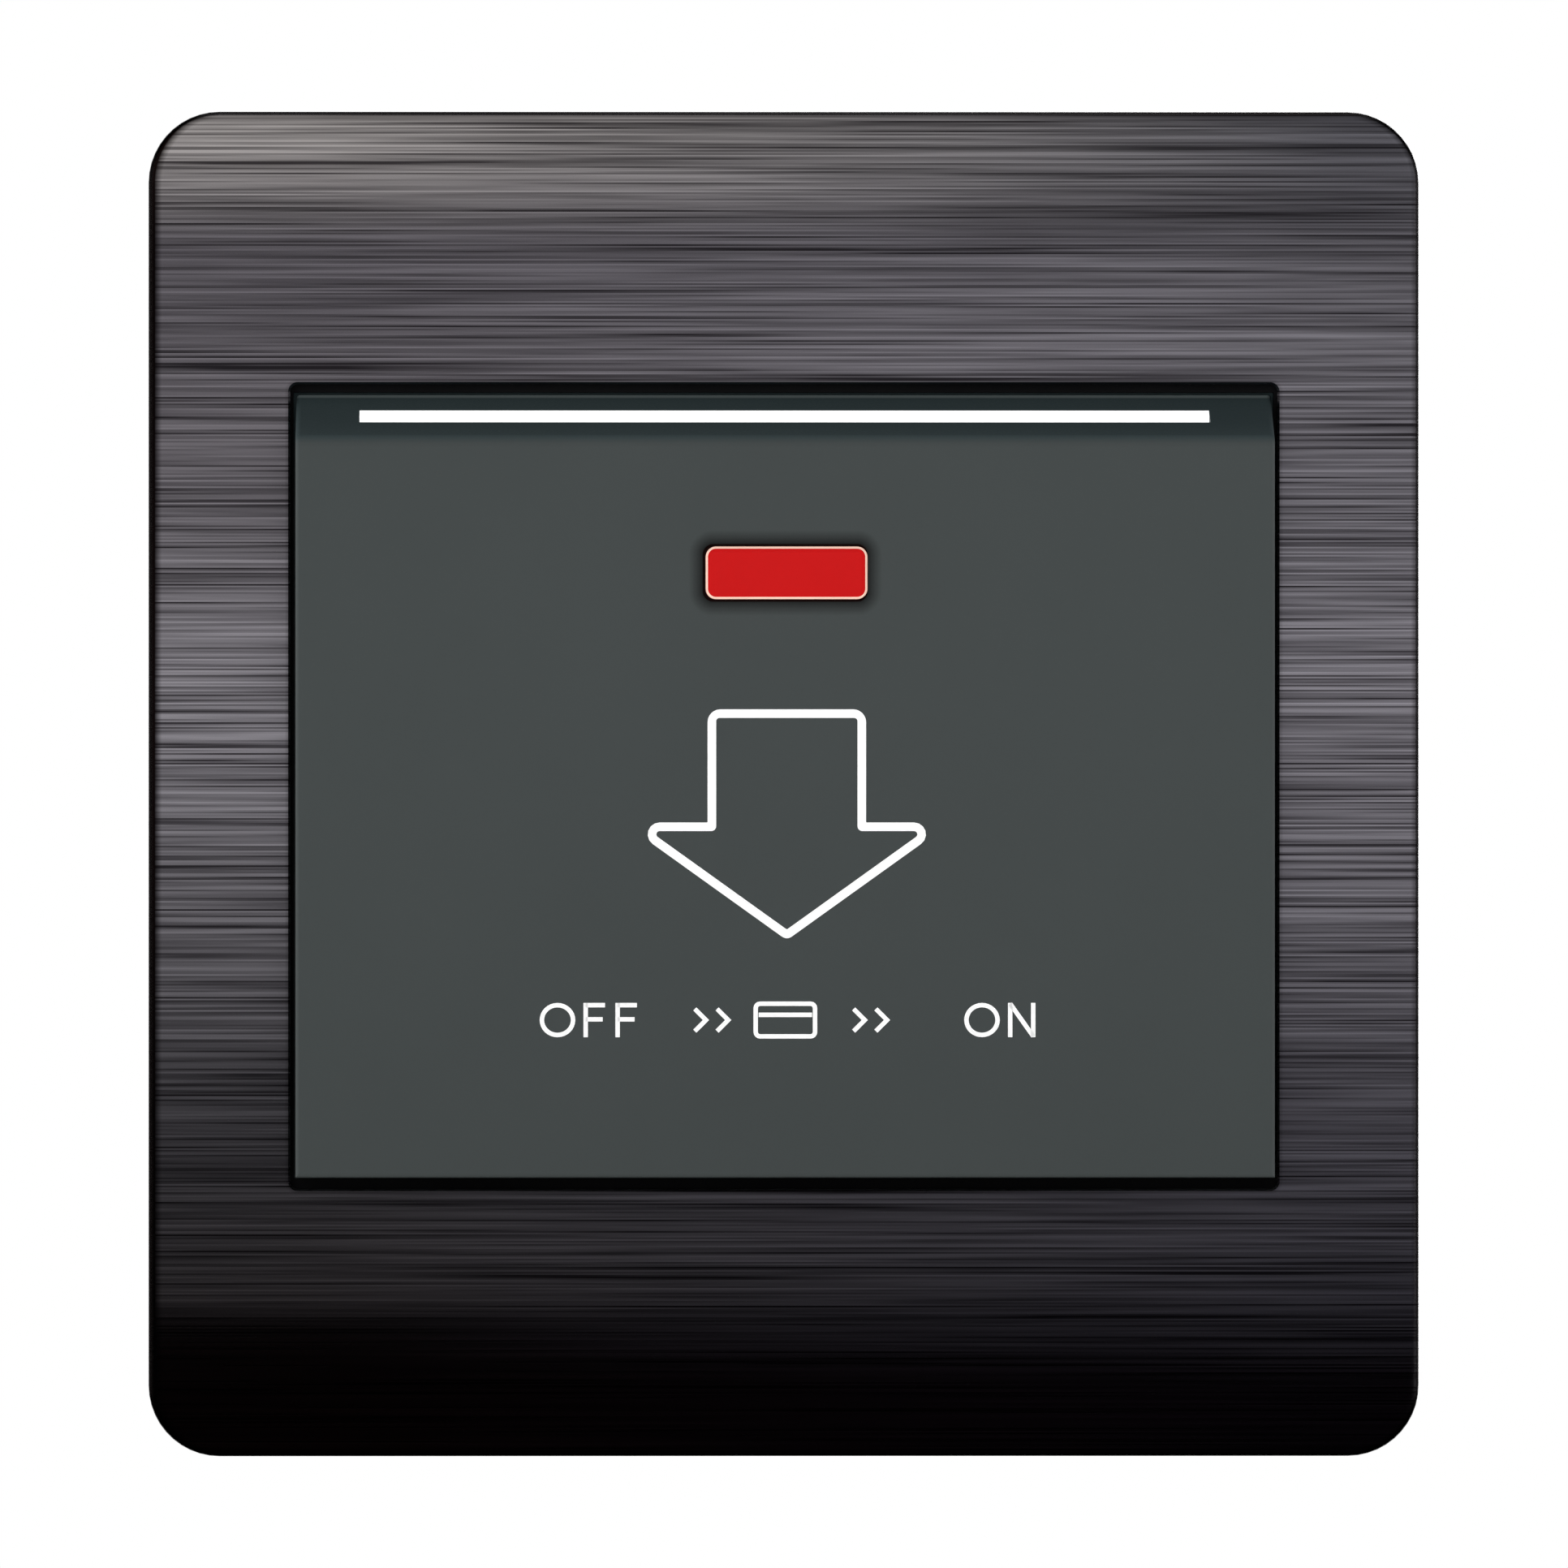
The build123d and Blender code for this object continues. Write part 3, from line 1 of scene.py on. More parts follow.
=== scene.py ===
"""Looks of the hotel key card switch: finishes, prints, screws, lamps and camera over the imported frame."""

import json
import logging
import math
from dataclasses import dataclass
from enum import Enum
from functools import partial
from typing import Iterable, Optional, Sequence, Union

import bmesh
import bpy
from mathutils import Matrix, Vector


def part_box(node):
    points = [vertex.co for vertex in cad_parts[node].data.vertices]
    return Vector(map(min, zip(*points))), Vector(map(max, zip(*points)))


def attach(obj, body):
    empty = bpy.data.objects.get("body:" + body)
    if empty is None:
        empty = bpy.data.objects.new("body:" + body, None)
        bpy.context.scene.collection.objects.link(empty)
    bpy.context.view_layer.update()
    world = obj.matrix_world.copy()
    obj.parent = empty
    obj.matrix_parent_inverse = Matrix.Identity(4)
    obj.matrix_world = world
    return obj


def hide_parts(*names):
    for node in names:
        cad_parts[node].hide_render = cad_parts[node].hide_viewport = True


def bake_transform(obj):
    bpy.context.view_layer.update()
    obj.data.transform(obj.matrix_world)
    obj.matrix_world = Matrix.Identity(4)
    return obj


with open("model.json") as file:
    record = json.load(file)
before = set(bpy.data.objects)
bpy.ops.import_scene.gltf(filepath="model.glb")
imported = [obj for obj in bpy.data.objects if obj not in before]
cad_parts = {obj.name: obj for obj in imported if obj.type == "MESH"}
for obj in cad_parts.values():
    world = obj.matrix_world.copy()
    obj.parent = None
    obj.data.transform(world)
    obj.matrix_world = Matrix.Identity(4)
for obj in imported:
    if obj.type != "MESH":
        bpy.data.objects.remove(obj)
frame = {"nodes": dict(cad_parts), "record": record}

LOG = logging.getLogger("key_card_switch")
MM = 0.001
Point = tuple[float, float]
Spot = tuple[float, float, float]
Tree = bpy.types.NodeTree
Socket = bpy.types.NodeSocket
Feed = Union[bpy.types.NodeSocket, float, str, tuple]
Work = bmesh.types.BMesh


def linear(code: str) -> tuple[float, float, float, float]:
    """Turns an sRGB hex colour into linear light.

    Args:
        code: the colour as "#RRGGBB".

    Returns:
        Linear red, green, blue and an alpha of 1.
    """
    parts = [int(code[i : i + 2], 16) / 255 for i in (1, 3, 5)]
    light = [c / 12.92 if c <= 0.04045 else ((c + 0.055) / 1.055) ** 2.4 for c in parts]
    return (light[0], light[1], light[2], 1.0)


def add_node(tree: Tree, kind: str, feeds: Optional[dict] = None, **settings) -> bpy.types.Node:
    """Adds one node with its settings and what feeds its inputs.

    Args:
        tree: the node tree it goes into.
        kind: Blender's name for the node type.
        feeds: input name or number to an output socket, a hex colour or a plain value.
        **settings: the node's own properties.

    Returns:
        The new node.
    """
    made = tree.nodes.new(kind)
    for name, value in settings.items():
        setattr(made, name, value)
    for key, source in (feeds or {}).items():
        if isinstance(source, bpy.types.NodeSocket):
            tree.links.new(source, made.inputs[key])
        else:
            made.inputs[key].default_value = linear(source) if isinstance(source, str) else source
    return made


def body_point(tree: Tree, scale: float = 1 / MM) -> Socket:
    """Gives the object's own coordinates, in millimetres or in another unit.

    Args:
        tree: the material's node tree.
        scale: factor on coordinates in metres.

    Returns:
        The scaled coordinates' socket.
    """
    place = add_node(tree, "ShaderNodeTexCoord")
    scaled = add_node(tree, "ShaderNodeMapping", {"Vector": place.outputs["Object"], "Scale": (scale,) * 3})
    return scaled.outputs["Vector"]


def speckle(tree: Tree, point: Socket, size: float, detail: float = 2.0) -> Socket:
    """Noise of a given grain size in millimetres.

    Args:
        tree: the material's node tree.
        point: coordinates in millimetres.
        size: the grain's size in millimetres.
        detail: how many finer octaves it holds.

    Returns:
        The noise's value socket.
    """
    feeds = {"Vector": point, "Scale": 1 / size, "Detail": detail}
    return add_node(tree, "ShaderNodeTexNoise", feeds).outputs["Fac"]


def between(tree: Tree, value: Feed, low: Feed, high: Feed, start: Feed = 0.3, end: Feed = 0.7) -> Socket:
    """Maps a value to a range, and stops at its ends.

    Args:
        tree: the material's node tree.
        value: the socket to map.
        low: result at the start.
        high: result at the end.
        start: value that gives low.
        end: value that gives high.

    Returns:
        The mapped socket.
    """
    feeds = {"Value": value, "From Min": start, "From Max": end, "To Min": low, "To Max": high}
    return add_node(tree, "ShaderNodeMapRange", feeds).outputs["Result"]


def blend_colours(tree: Tree, share: Feed, first: Feed, second: Feed) -> Socket:
    """Mixes two colours by a share.

    Args:
        tree: the material's node tree.
        share: socket or number from 0 to 1.
        first: hex colour or socket at 0.
        second: hex colour or socket at 1.

    Returns:
        The mixed colour's socket.
    """
    return add_node(tree, "ShaderNodeMix", {0: share, 6: first, 7: second}, data_type="RGBA").outputs[2]


def clouded(tree: Tree, point: Socket, size: float, detail: float, first: str, second: str) -> Socket:
    """Two colours in soft clouds.

    Args:
        tree: the material's node tree.
        point: coordinates in millimetres.
        size: the clouds' size in millimetres.
        detail: how many finer octaves they hold.
        first: hex colour of the one.
        second: hex colour of the other.

    Returns:
        The colour's socket.
    """
    clouds = between(tree, speckle(tree, point, size, detail), 0.0, 1.0)
    return blend_colours(tree, clouds, first, second)


def node_box(name: str) -> tuple[Vector, Vector]:
    """Lowest and highest corners of a CAD node at rest, in millimetres."""
    low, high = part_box(name)
    return Vector(low) / MM, Vector(high) / MM


def sums(tree: Tree, operation: str, first: Feed, second: Feed = 0.0, third: Feed = 0.0) -> Socket:
    """Does one sum on sockets or numbers.

    Args:
        tree: the node tree.
        operation: Blender's name of the sum.
        first: first operand.
        second: second operand.
        third: third operand, where the sum has one.

    Returns:
        The result's socket.
    """
    return add_node(tree, "ShaderNodeMath", {0: first, 1: second, 2: third}, operation=operation).outputs[0]


def past_outline(tree: Tree, point: Socket, middle: Point, half: Point, corner: float) -> Socket:
    """Distance from a rounded rectangle in the plane of the wall, in millimetres, below zero inside it.

    Args:
        tree: the material's node tree.
        point: coordinates in millimetres.
        middle: the rectangle's middle, x and z.
        half: half its width and half its height.
        corner: its corner radius.

    Returns:
        The distance's socket.
    """
    parts = add_node(tree, "ShaderNodeSeparateXYZ", {0: point}).outputs
    over = []
    for axis, centre, reach in zip("XZ", middle, half):
        side = sums(tree, "ABSOLUTE", sums(tree, "SUBTRACT", parts[axis], centre))
        over.append(sums(tree, "SUBTRACT", side, reach - corner))
    kept = [sums(tree, "MAXIMUM", value, 0.0) for value in over]
    squares = sums(tree, "ADD", sums(tree, "POWER", kept[0], 2.0), sums(tree, "POWER", kept[1], 2.0))
    outside = sums(tree, "SQRT", squares)
    inside = sums(tree, "MINIMUM", sums(tree, "MAXIMUM", over[0], over[1]), 0.0)
    return sums(tree, "SUBTRACT", sums(tree, "ADD", outside, inside), corner)


def relief(tree: Tree, height: Socket, depth: float, strength: float = 1.0) -> Socket:
    """Turns a height pattern into a surface bump.

    Args:
        tree: the material's node tree.
        height: the height pattern's socket.
        depth: its depth in millimetres.
        strength: how much of it shows.

    Returns:
        The normal's socket.
    """
    feeds = {"Height": height, "Distance": depth * MM, "Strength": strength}
    return add_node(tree, "ShaderNodeBump", feeds).outputs["Normal"]


def bare_material(name: str) -> tuple[bpy.types.Material, Tree]:
    """Makes a material with an empty node tree."""
    made = bpy.data.materials.new(name)
    made.use_nodes = True
    made.node_tree.nodes.clear()
    return made, made.node_tree


MADE: dict["Finish", bpy.types.Material] = {}


@dataclass(frozen=True)
class Finish:
    """A finish with the name of its real material."""

    name: str

    def shade(self, tree: Tree, point: Socket) -> dict[str, Feed]:
        """Builds the pattern.

        Args:
            tree: the material's node tree.
            point: coordinates in millimetres.

        Returns:
            What feeds the surface shader's inputs, by their names.
        """
        raise NotImplementedError

    def material(self) -> bpy.types.Material:
        """Makes the material once.

        Returns:
            The material.
        """
        if self not in MADE:
            made, tree = bare_material(self.name)
            surface = add_node(tree, "ShaderNodeBsdfPrincipled", self.shade(tree, body_point(tree)))
            add_node(tree, "ShaderNodeOutputMaterial", {"Surface": surface.outputs[0]})
            MADE[self] = made
        return MADE[self]


@dataclass(frozen=True)
class MouldedPlastic(Finish):
    """Injection-moulded plastic: even colour, fine sparked texture, soft sheen."""

    colour: str
    fleck: str
    roughness: float = 0.55
    shine: float = 0.35
    grain: float = 0.12
    depth: float = 0.004
    cloud: float = 9.0
    glow: float = 0.0
    glow_depth: float = 1.5

    def shade(self, tree: Tree, point: Socket) -> dict[str, Feed]:
        """Even colour with faint flow clouds, and sparked grain in roughness and bump."""
        grain = speckle(tree, point, self.grain, 3.0)
        return {
            "Base Color": clouded(tree, point, self.cloud, 3.0, self.colour, self.fleck),
            "Roughness": between(tree, grain, self.roughness - 0.06, self.roughness + 0.06),
            "Specular IOR Level": self.shine,
            "Normal": relief(tree, grain, self.depth),
            "Subsurface Weight": self.glow,
            "Subsurface Scale": self.glow_depth * MM,
        }


@dataclass(frozen=True)
class BrushedPlate(Finish):
    """Anodised aluminium sheet brushed across: level lines of uneven length, painted shade on the rolled rim
    and round the opening.
    """

    colour: str
    dark: str
    # Painted shade colour of the rolled rim and of the line round the opening
    rim_colour: str
    roughness: float = 0.25
    rows: tuple[Spot, ...] = ((0.11, 40.0, 0.7), (0.22, 80.0, 0.2), (0.62, 160.0, 0.1))
    row_shift: Point = (7.31, 13.7)
    contrast: Point = (0.34, 0.66)
    depth: float = 0.0015
    spread: float = 0.5
    corner: float = 4.8
    opening_middle: Point = (0.0, -0.175)
    opening_half: Point = (33.4, 27.225)
    opening_corner: float = 0.5
    opening_shade: float = 0.45
    opening_reach: float = 0.4
    rim_start: float = 0.4
    rim_end: float = 3.5

    def brushing(self, tree: Tree, point: Socket) -> Socket:
        """Hairlines in rows of three heights, each row fading in and out along X, added up.

        Args:
            tree: the material's node tree.
            point: coordinates in millimetres.

        Returns:
            The pattern's socket, near 0.5 on average.
        """
        parts = add_node(tree, "ShaderNodeSeparateXYZ", {0: point}).outputs
        total = 0.0
        for height, length, weight in self.rows:
            row = sums(tree, "FLOOR", sums(tree, "DIVIDE", parts["Z"], height))
            shifts = [sums(tree, "MULTIPLY", row, shift) for shift in self.row_shift]
            along = sums(tree, "MULTIPLY_ADD", parts["X"], 1 / length, shifts[0])
            place = add_node(tree, "ShaderNodeCombineXYZ", {0: along, 1: shifts[1]})
            feeds = {"Vector": place.outputs[0], "Scale": 1.0, "Detail": 3.0}
            noise = add_node(tree, "ShaderNodeTexNoise", feeds, noise_dimensions="2D")
            total = sums(tree, "MULTIPLY_ADD", noise.outputs["Fac"], weight, total)
        return total

    def rim(self, tree: Tree, point: Socket) -> Socket:
        """How much painted shade the rolled rim takes: wide at the left, a thin line on the other sides.

        Args:
            tree: the material's node tree.
            point: coordinates in millimetres.

        Returns:
            The share's socket.
        """
        high = node_box("face_plate")[1]
        past = past_outline(tree, point, (0.0, 0.0), (high.x, high.z), self.corner)
        inward = sums(tree, "MULTIPLY", past, -1.0)
        x = add_node(tree, "ShaderNodeSeparateXYZ", {0: point}).outputs["X"]
        ends = (self.rim_start - high.x, self.rim_end - high.x)
        width, soft = between(tree, x, 0.42, 0.06, *ends), between(tree, x, 0.55, 0.5, *ends)
        # Painted shade: the rolled rim is darkened in colour
        return between(tree, inward, 1.0, 0.0, width, sums(tree, "ADD", width, soft))

    def shade(self, tree: Tree, point: Socket) -> dict[str, Feed]:
        """Lines in colour, roughness and bump, and painted shade on the rolled rim and in a line round the
        opening.
        """
        lines = self.brushing(tree, point)
        share = between(tree, lines, 0.0, 1.0, *self.contrast)
        metal = blend_colours(tree, share, self.dark, self.colour)
        # Painted shade: a dark line on the plate just outside the opening
        opening = past_outline(tree, point, self.opening_middle, self.opening_half, self.opening_corner)
        near = between(tree, opening, self.opening_shade, 0.0, 0.0, self.opening_reach)
        metal = blend_colours(tree, near, metal, self.rim_colour)
        return {
            "Base Color": blend_colours(tree, self.rim(tree, point), metal, self.rim_colour),
            "Metallic": 1.0,
            "Roughness": between(tree, lines, self.roughness + 0.06, self.roughness - 0.06),
            "Anisotropic": self.spread,
            "Normal": relief(tree, lines, self.depth, 0.6),
        }


@dataclass(frozen=True)
class MetalSkin(Finish):
    """Plated, rolled or cast metal: small clouds of brightness and faint drawing marks."""

    colour: str
    shade_colour: str
    roughness: float = 0.3
    cloud: float = 2.5
    mark: float = 0.15
    depth: float = 0.003

    def shade(self, tree: Tree, point: Socket) -> dict[str, Feed]:
        """Clouded tint and roughness over fine marks."""
        marks = speckle(tree, point, self.mark, 2.0)
        return {
            "Base Color": clouded(tree, point, self.cloud, 4.0, self.shade_colour, self.colour),
            "Metallic": 1.0,
            "Roughness": between(tree, marks, self.roughness - 0.08, self.roughness + 0.1),
            "Normal": relief(tree, marks, self.depth, 0.5),
        }


@dataclass(frozen=True)
class SolderMask(Finish):
    """Glass-epoxy board under green solder mask: buried tracks show a shade lighter and a hair higher."""

    colour: str
    track: str
    glass: str = "#0F4A2A"
    weave: float = 0.5
    pitch: float = 1.27
    track_width: float = 0.09

    def shade(self, tree: Tree, point: Socket) -> dict[str, Feed]:
        """Track pattern from squared cells, and the glass weave under it."""
        squares = {"Vector": body_point(tree, 1 / (MM * self.pitch)), "Rotation": (math.pi / 2, 0, 0)}
        turned = add_node(tree, "ShaderNodeMapping", squares).outputs["Vector"]
        bricks = {"Vector": turned, "Scale": 0.5, "Mortar Size": self.track_width}
        bricks.update({"Color1": "#000000", "Color2": "#000000", "Mortar": "#FFFFFF"})
        cells = add_node(tree, "ShaderNodeTexBrick", bricks).outputs["Color"]
        ground = clouded(tree, point, self.weave, 2.0, self.colour, self.glass)
        return {
            "Base Color": blend_colours(tree, cells, ground, self.track),
            "Roughness": between(tree, speckle(tree, point, self.weave), 0.28, 0.4),
            "Specular IOR Level": 0.5,
            "Normal": relief(tree, cells, 0.03, 0.5),
        }


@dataclass(frozen=True)
class EnamelWire(Finish):
    """Enamelled copper wire: warm metal under a clear coat."""

    colour: str
    deep: str

    def shade(self, tree: Tree, point: Socket) -> dict[str, Feed]:
        """Copper with faint clouds under a glossy coat."""
        clouds = between(tree, speckle(tree, point, 1.2, 3.0), 0.0, 1.0)
        return {
            "Base Color": blend_colours(tree, clouds, self.deep, self.colour),
            "Metallic": 0.9,
            "Roughness": between(tree, clouds, 0.22, 0.34),
            "Coat Weight": 0.5,
            "Coat Roughness": 0.1,
            "Normal": relief(tree, speckle(tree, point, 0.1), 0.002, 0.4),
        }


@dataclass(frozen=True)
class ResinCoat(Finish):
    """Dipped or lacquered resin: smooth, a little wavy, with painted rings if the piece has them."""

    colour: str
    deep: str
    roughness: float = 0.25
    rings: tuple[str, ...] = ()
    ring_pitch: float = 1.1
    ring_start: float = -15.0
    ring_half: float = 0.28
    wave: float = 1.6

    def shade(self, tree: Tree, point: Socket) -> dict[str, Feed]:
        """Wavy gloss, and rings along X from steps on the piece's own coordinates."""
        waves = speckle(tree, point, self.wave)
        colour = clouded(tree, point, self.wave, 2.0, self.deep, self.colour)
        along = add_node(tree, "ShaderNodeSeparateXYZ", {"Vector": point}).outputs["X"]
        for i, code in enumerate(self.rings):
            ring = sums(tree, "COMPARE", along, self.ring_start + i * self.ring_pitch, self.ring_half)
            colour = blend_colours(tree, ring, colour, code)
        return {
            "Base Color": colour,
            "Roughness": between(tree, waves, self.roughness - 0.05, self.roughness + 0.08),
            "Specular IOR Level": 0.5,
            "Normal": relief(tree, waves, 0.02, 0.5),
        }


@dataclass(frozen=True)
class LitPlastic(Finish):
    """Opal or tinted acrylic with a lamp behind it: even glow, faint clouds, smooth skin."""

    colour: str
    heart: str
    glow_colour: str
    glow: float
    roughness: float = 0.25
    shine: float = 0.3
    cloud: float = 3.0

    def shade(self, tree: Tree, point: Socket) -> dict[str, Feed]:
        """Clouded tint with the lamp's glow."""
        fine = speckle(tree, point, 0.3)
        return {
            "Base Color": clouded(tree, point, self.cloud, 2.0, self.colour, self.heart),
            "Roughness": between(tree, fine, self.roughness - 0.05, self.roughness + 0.05),
            "Specular IOR Level": self.shine,
            "Emission Color": self.glow_colour,
            "Emission Strength": self.glow,
            "Normal": relief(tree, speckle(tree, point, 0.8), 0.001, 0.3),
        }


@dataclass(frozen=True)
class PrintedInk(Finish):
    """Screen-printed ink: dense, matt, with a faint mesh texture and a faint painted glow."""

    colour: str
    thin: str
    lift: float = 0.12

    def shade(self, tree: Tree, point: Socket) -> dict[str, Feed]:
        """Even ink that thins by a shade in spots."""
        spots = between(tree, speckle(tree, point, 0.35), 0.0, 1.0, 0.2, 0.5)
        return {
            "Base Color": blend_colours(tree, spots, self.thin, self.colour),
            "Roughness": between(tree, spots, 0.6, 0.5),
            "Specular IOR Level": 0.2,
            # Painted light: the ink glows a little in its own colour
            "Emission Color": self.colour,
            "Emission Strength": self.lift,
            "Normal": relief(tree, speckle(tree, point, 0.1), 0.002, 0.5),
        }


@dataclass(frozen=True)
class PocketPlastic(MouldedPlastic):
    """The pocket's satin moulding, with painted shade on the slope and round the lens window, and a painted
    highlight on the slope's top edge.
    """

    window: Point = (0.0, 14.225)
    window_half: Point = (5.57, 1.945)
    window_corner: float = 0.72
    ring: float = 0.95
    ring_colour: str = "#191B1B"
    slope_low: float = 23.325
    slope_colour: str = "#3B4749"
    slope_edge: float = 26.14
    slope_back: float = -7.9
    edge_colour: str = "#6A7474"

    def shade(self, tree: Tree, point: Socket) -> dict[str, Feed]:
        """The moulded finish, with painted shade on the slope, a painted highlight along its top edge, and a
        ring of painted shade round the window.
        """
        feeds = super().shade(tree, point)
        parts = add_node(tree, "ShaderNodeSeparateXYZ", {0: point}).outputs
        # Painted shade: the upward-facing slope is darker and cooler in colour
        slope = between(tree, parts["Z"], 0.0, 1.0, self.slope_low - 0.35, self.slope_low + 0.1)
        plain = blend_colours(tree, slope, feeds["Base Color"], self.slope_colour)
        # Painted highlight: a thin pale line along the slope's top edge
        painted_edge_highlight = between(tree, parts["Z"], 0.0, 1.0, self.slope_edge - 0.05, self.slope_edge + 0.05)
        painted_edge_highlight = sums(tree, "MULTIPLY", painted_edge_highlight, sums(tree, "LESS_THAN", parts["Y"], self.slope_back))
        plain = blend_colours(tree, painted_edge_highlight, plain, self.edge_colour)
        # Painted shade: a dark ring round the lens window
        off = past_outline(tree, point, self.window, self.window_half, self.window_corner)
        share = between(tree, off, 0.95, 0.0, 0.0, self.ring)
        feeds["Base Color"] = blend_colours(tree, share, plain, self.ring_colour)
        return feeds


# Painted rings of a resistor: brown, black, red and gold
RINGS = ("#7A3B1D", "#1C1C1C", "#C8102E", "#C9A227")


class Finishes(Enum):
    """The finishes of the switch, by record slot."""

    # Anodised aluminium, brushed across: dark grey, a hint of violet, level lines, near-black painted shade
    # on the rolled rim
    face_metal = BrushedPlate("brushed_anodised_aluminium", "#B5B1B7", "#3C393D", "#120B0B")
    # Black ABS: dull, sparked texture
    black_abs = MouldedPlastic("sparked_black_abs", "#0B0B0C", "#0F0F10", 0.6, 0.12)
    # Satin slate ABS of the pocket: flat, quiet, no gloss, with painted shade on the slope and round the
    # lens window, and a painted highlight on the slope's top edge
    pocket_grey = PocketPlastic("satin_slate_abs", "#464B4B", "#474C4C", 0.62, 0.12, 0.15, 0.003)
    # Opal polycarbonate, lit from behind: an even white bar
    opal = LitPlastic("opal_polycarbonate", "#F4F6F4", "#FFFFFF", "#FFFFFF", 0.9)
    # Red acrylic over a lamp
    lens_red = LitPlastic("red_acrylic", "#CB1718", "#CD1819", "#C81A1A", 0.03, 0.2, 0.06)
    # Light grey ABS of the channel
    light_abs = MouldedPlastic("light_grey_abs", "#CDCDCA", "#D3D3D0", 0.55, 0.35)
    # Rolled spring steel: bright, cool, drawn lines
    spring_steel = MetalSkin("rolled_spring_steel", "#C6C8CA", "#A9ACAE", 0.25)
    # Zinc-plated steel: slightly blue and clouded
    plated_steel = MetalSkin("zinc_plated_steel", "#CFD3D6", "#AEB4BA", 0.3, 1.6)
    # White acetal: waxy sheen
    white_pom = MouldedPlastic("white_acetal", "#E9E8E3", "#EFEEEA", 0.4, 0.45, 0.2, 0.002, 6.0, 0.05)
    # Black thermoset of the snap switch
    switch_black = MouldedPlastic("black_thermoset", "#242426", "#2B2B2D", 0.45, 0.4)
    # Red acetal plunger
    switch_red = MouldedPlastic("red_acetal", "#B52A20", "#BE3127", 0.4, 0.45, 0.2, 0.002)
    # Beryllium copper strip: warm, springy, drawn
    copper_alloy = MetalSkin("beryllium_copper", "#D9A774", "#C48E5C", 0.28)
    # Silver rivets, faintly tarnished
    silver_contact = MetalSkin("contact_silver", "#E4E4E2", "#C2C0BA", 0.22, 0.8)
    # Free-cutting brass: yellow, tumbled
    brass = MetalSkin("tumbled_brass", "#D9B868", "#BE9A4C", 0.3, 1.8)
    # Green solder mask over glass epoxy
    board_green = SolderMask("green_solder_mask", "#14603A", "#2B8552")
    # Blue polycarbonate relay cover
    relay_blue = MouldedPlastic("blue_polycarbonate", "#1F4FA0", "#2456A8", 0.3, 0.5, 0.3, 0.002)
    # Black glass-filled base
    relay_black = MouldedPlastic("black_glass_filled_nylon", "#202021", "#29292A", 0.6, 0.3)
    # Natural nylon spool
    bobbin_white = MouldedPlastic("natural_nylon", "#E0DCCB", "#E7E3D4", 0.45, 0.4, 0.2, 0.002, 5.0, 0.08)
    # Enamelled copper winding
    winding_copper = EnamelWire("enamelled_copper_wire", "#C9683A", "#A34E28")
    # Annealed iron: grey, dull
    soft_iron = MetalSkin("annealed_iron", "#A6A7A9", "#86878A", 0.42, 1.4)
    # Yellow box of the film capacitor
    film_yellow = ResinCoat("yellow_polyester_box", "#D9A52C", "#CC9824", 0.35)
    # Shrink sleeve of the can
    can_sleeve = ResinCoat("dark_blue_shrink_sleeve", "#1B1F3A", "#15182E", 0.3)
    # Dipped epoxy of the varistor
    disc_blue = ResinCoat("dipped_blue_epoxy", "#2E6AC0", "#265BAA", 0.25)
    # Lacquered resistors with painted rings
    resistor_tan = ResinCoat("tan_resistor_lacquer", "#CDAE82", "#C2A275", 0.3, RINGS, 1.2, -16.0)
    # Moulded epoxy of chips
    chip_black = MouldedPlastic("black_moulded_epoxy", "#1C1C1D", "#242425", 0.6, 0.3, 0.1)
    # Warm white epoxy of the lamps at the slot
    lamp_white = LitPlastic("white_lamp_resin", "#EDEBD8", "#F4F2E2", "#FFF9E8", 0.3)
    # Red epoxy of the lamp behind the lens
    lamp_red = LitPlastic("red_lamp_resin", "#C83A30", "#D24A3C", "#E03020", 0.3)
    # Flame-retardant PC of the housing
    housing_grey = MouldedPlastic("grey_flame_retardant_pc", "#B3B5B5", "#BABCBC", 0.5, 0.4, 0.18, 0.005)
    # Mid grey nylon of the terminal block
    terminal_grey = MouldedPlastic("grey_nylon", "#959899", "#9EA1A2", 0.45, 0.4, 0.15, 0.004)


WHITE_INK = PrintedInk("white_screen_ink", "#FFFFFF", "#F6F8F7")
# Polished bevel of the lens: a painted highlight, pale in colour and glowing a little
LENS_RIM_HIGHLIGHT = LitPlastic("painted_highlight_lens_rim", "#F8D2C0", "#FCDCCC", "#F0B8A0", 0.3, 0.15, 0.5)
# The lens's flange behind the wall: painted shade, near-black, so the joint round the lens looks nearly
# black
LENS_FLANGE_SHADE = MouldedPlastic("painted_shade_red_acrylic", "#1A0707", "#1E0909", 0.4, 0.1)


@dataclass
class SubAssembly:
    """A group of CAD nodes that keep their shape and take the finish of their record slot."""

    nodes: tuple[str, ...] = ()

    def build(self) -> None:
        """Dresses the nodes."""
        slots = {row["node"]: row["material_slot"] for row in frame["record"]["subparts"]}
        for name in self.nodes:
            mesh = frame["nodes"][name].data
            mesh.materials.clear()
            mesh.materials.append(Finishes[slots[name]].value.material())
        LOG.info("%s: %s", type(self).__name__, ", ".join(self.nodes))


def new_piece(name: str, work: Work, finishes: Iterable[Finish]) -> bpy.types.Object:
    """Turns built mesh work into a piece at the origin.

    Args:
        name: the piece's name.
        work: the mesh work, in metres; it is freed.
        finishes: the piece's finishes in slot order.

    Returns:
        The piece.
    """
    bmesh.ops.remove_doubles(work, verts=work.verts, dist=1e-7)
    bmesh.ops.recalc_face_normals(work, faces=work.faces)
    mesh = bpy.data.meshes.new(name)
    work.to_mesh(mesh)
    work.free()
    piece = bpy.data.objects.new(name, mesh)
    bpy.context.scene.collection.objects.link(piece)
    for finish in finishes:
        mesh.materials.append(finish.material())
    return piece


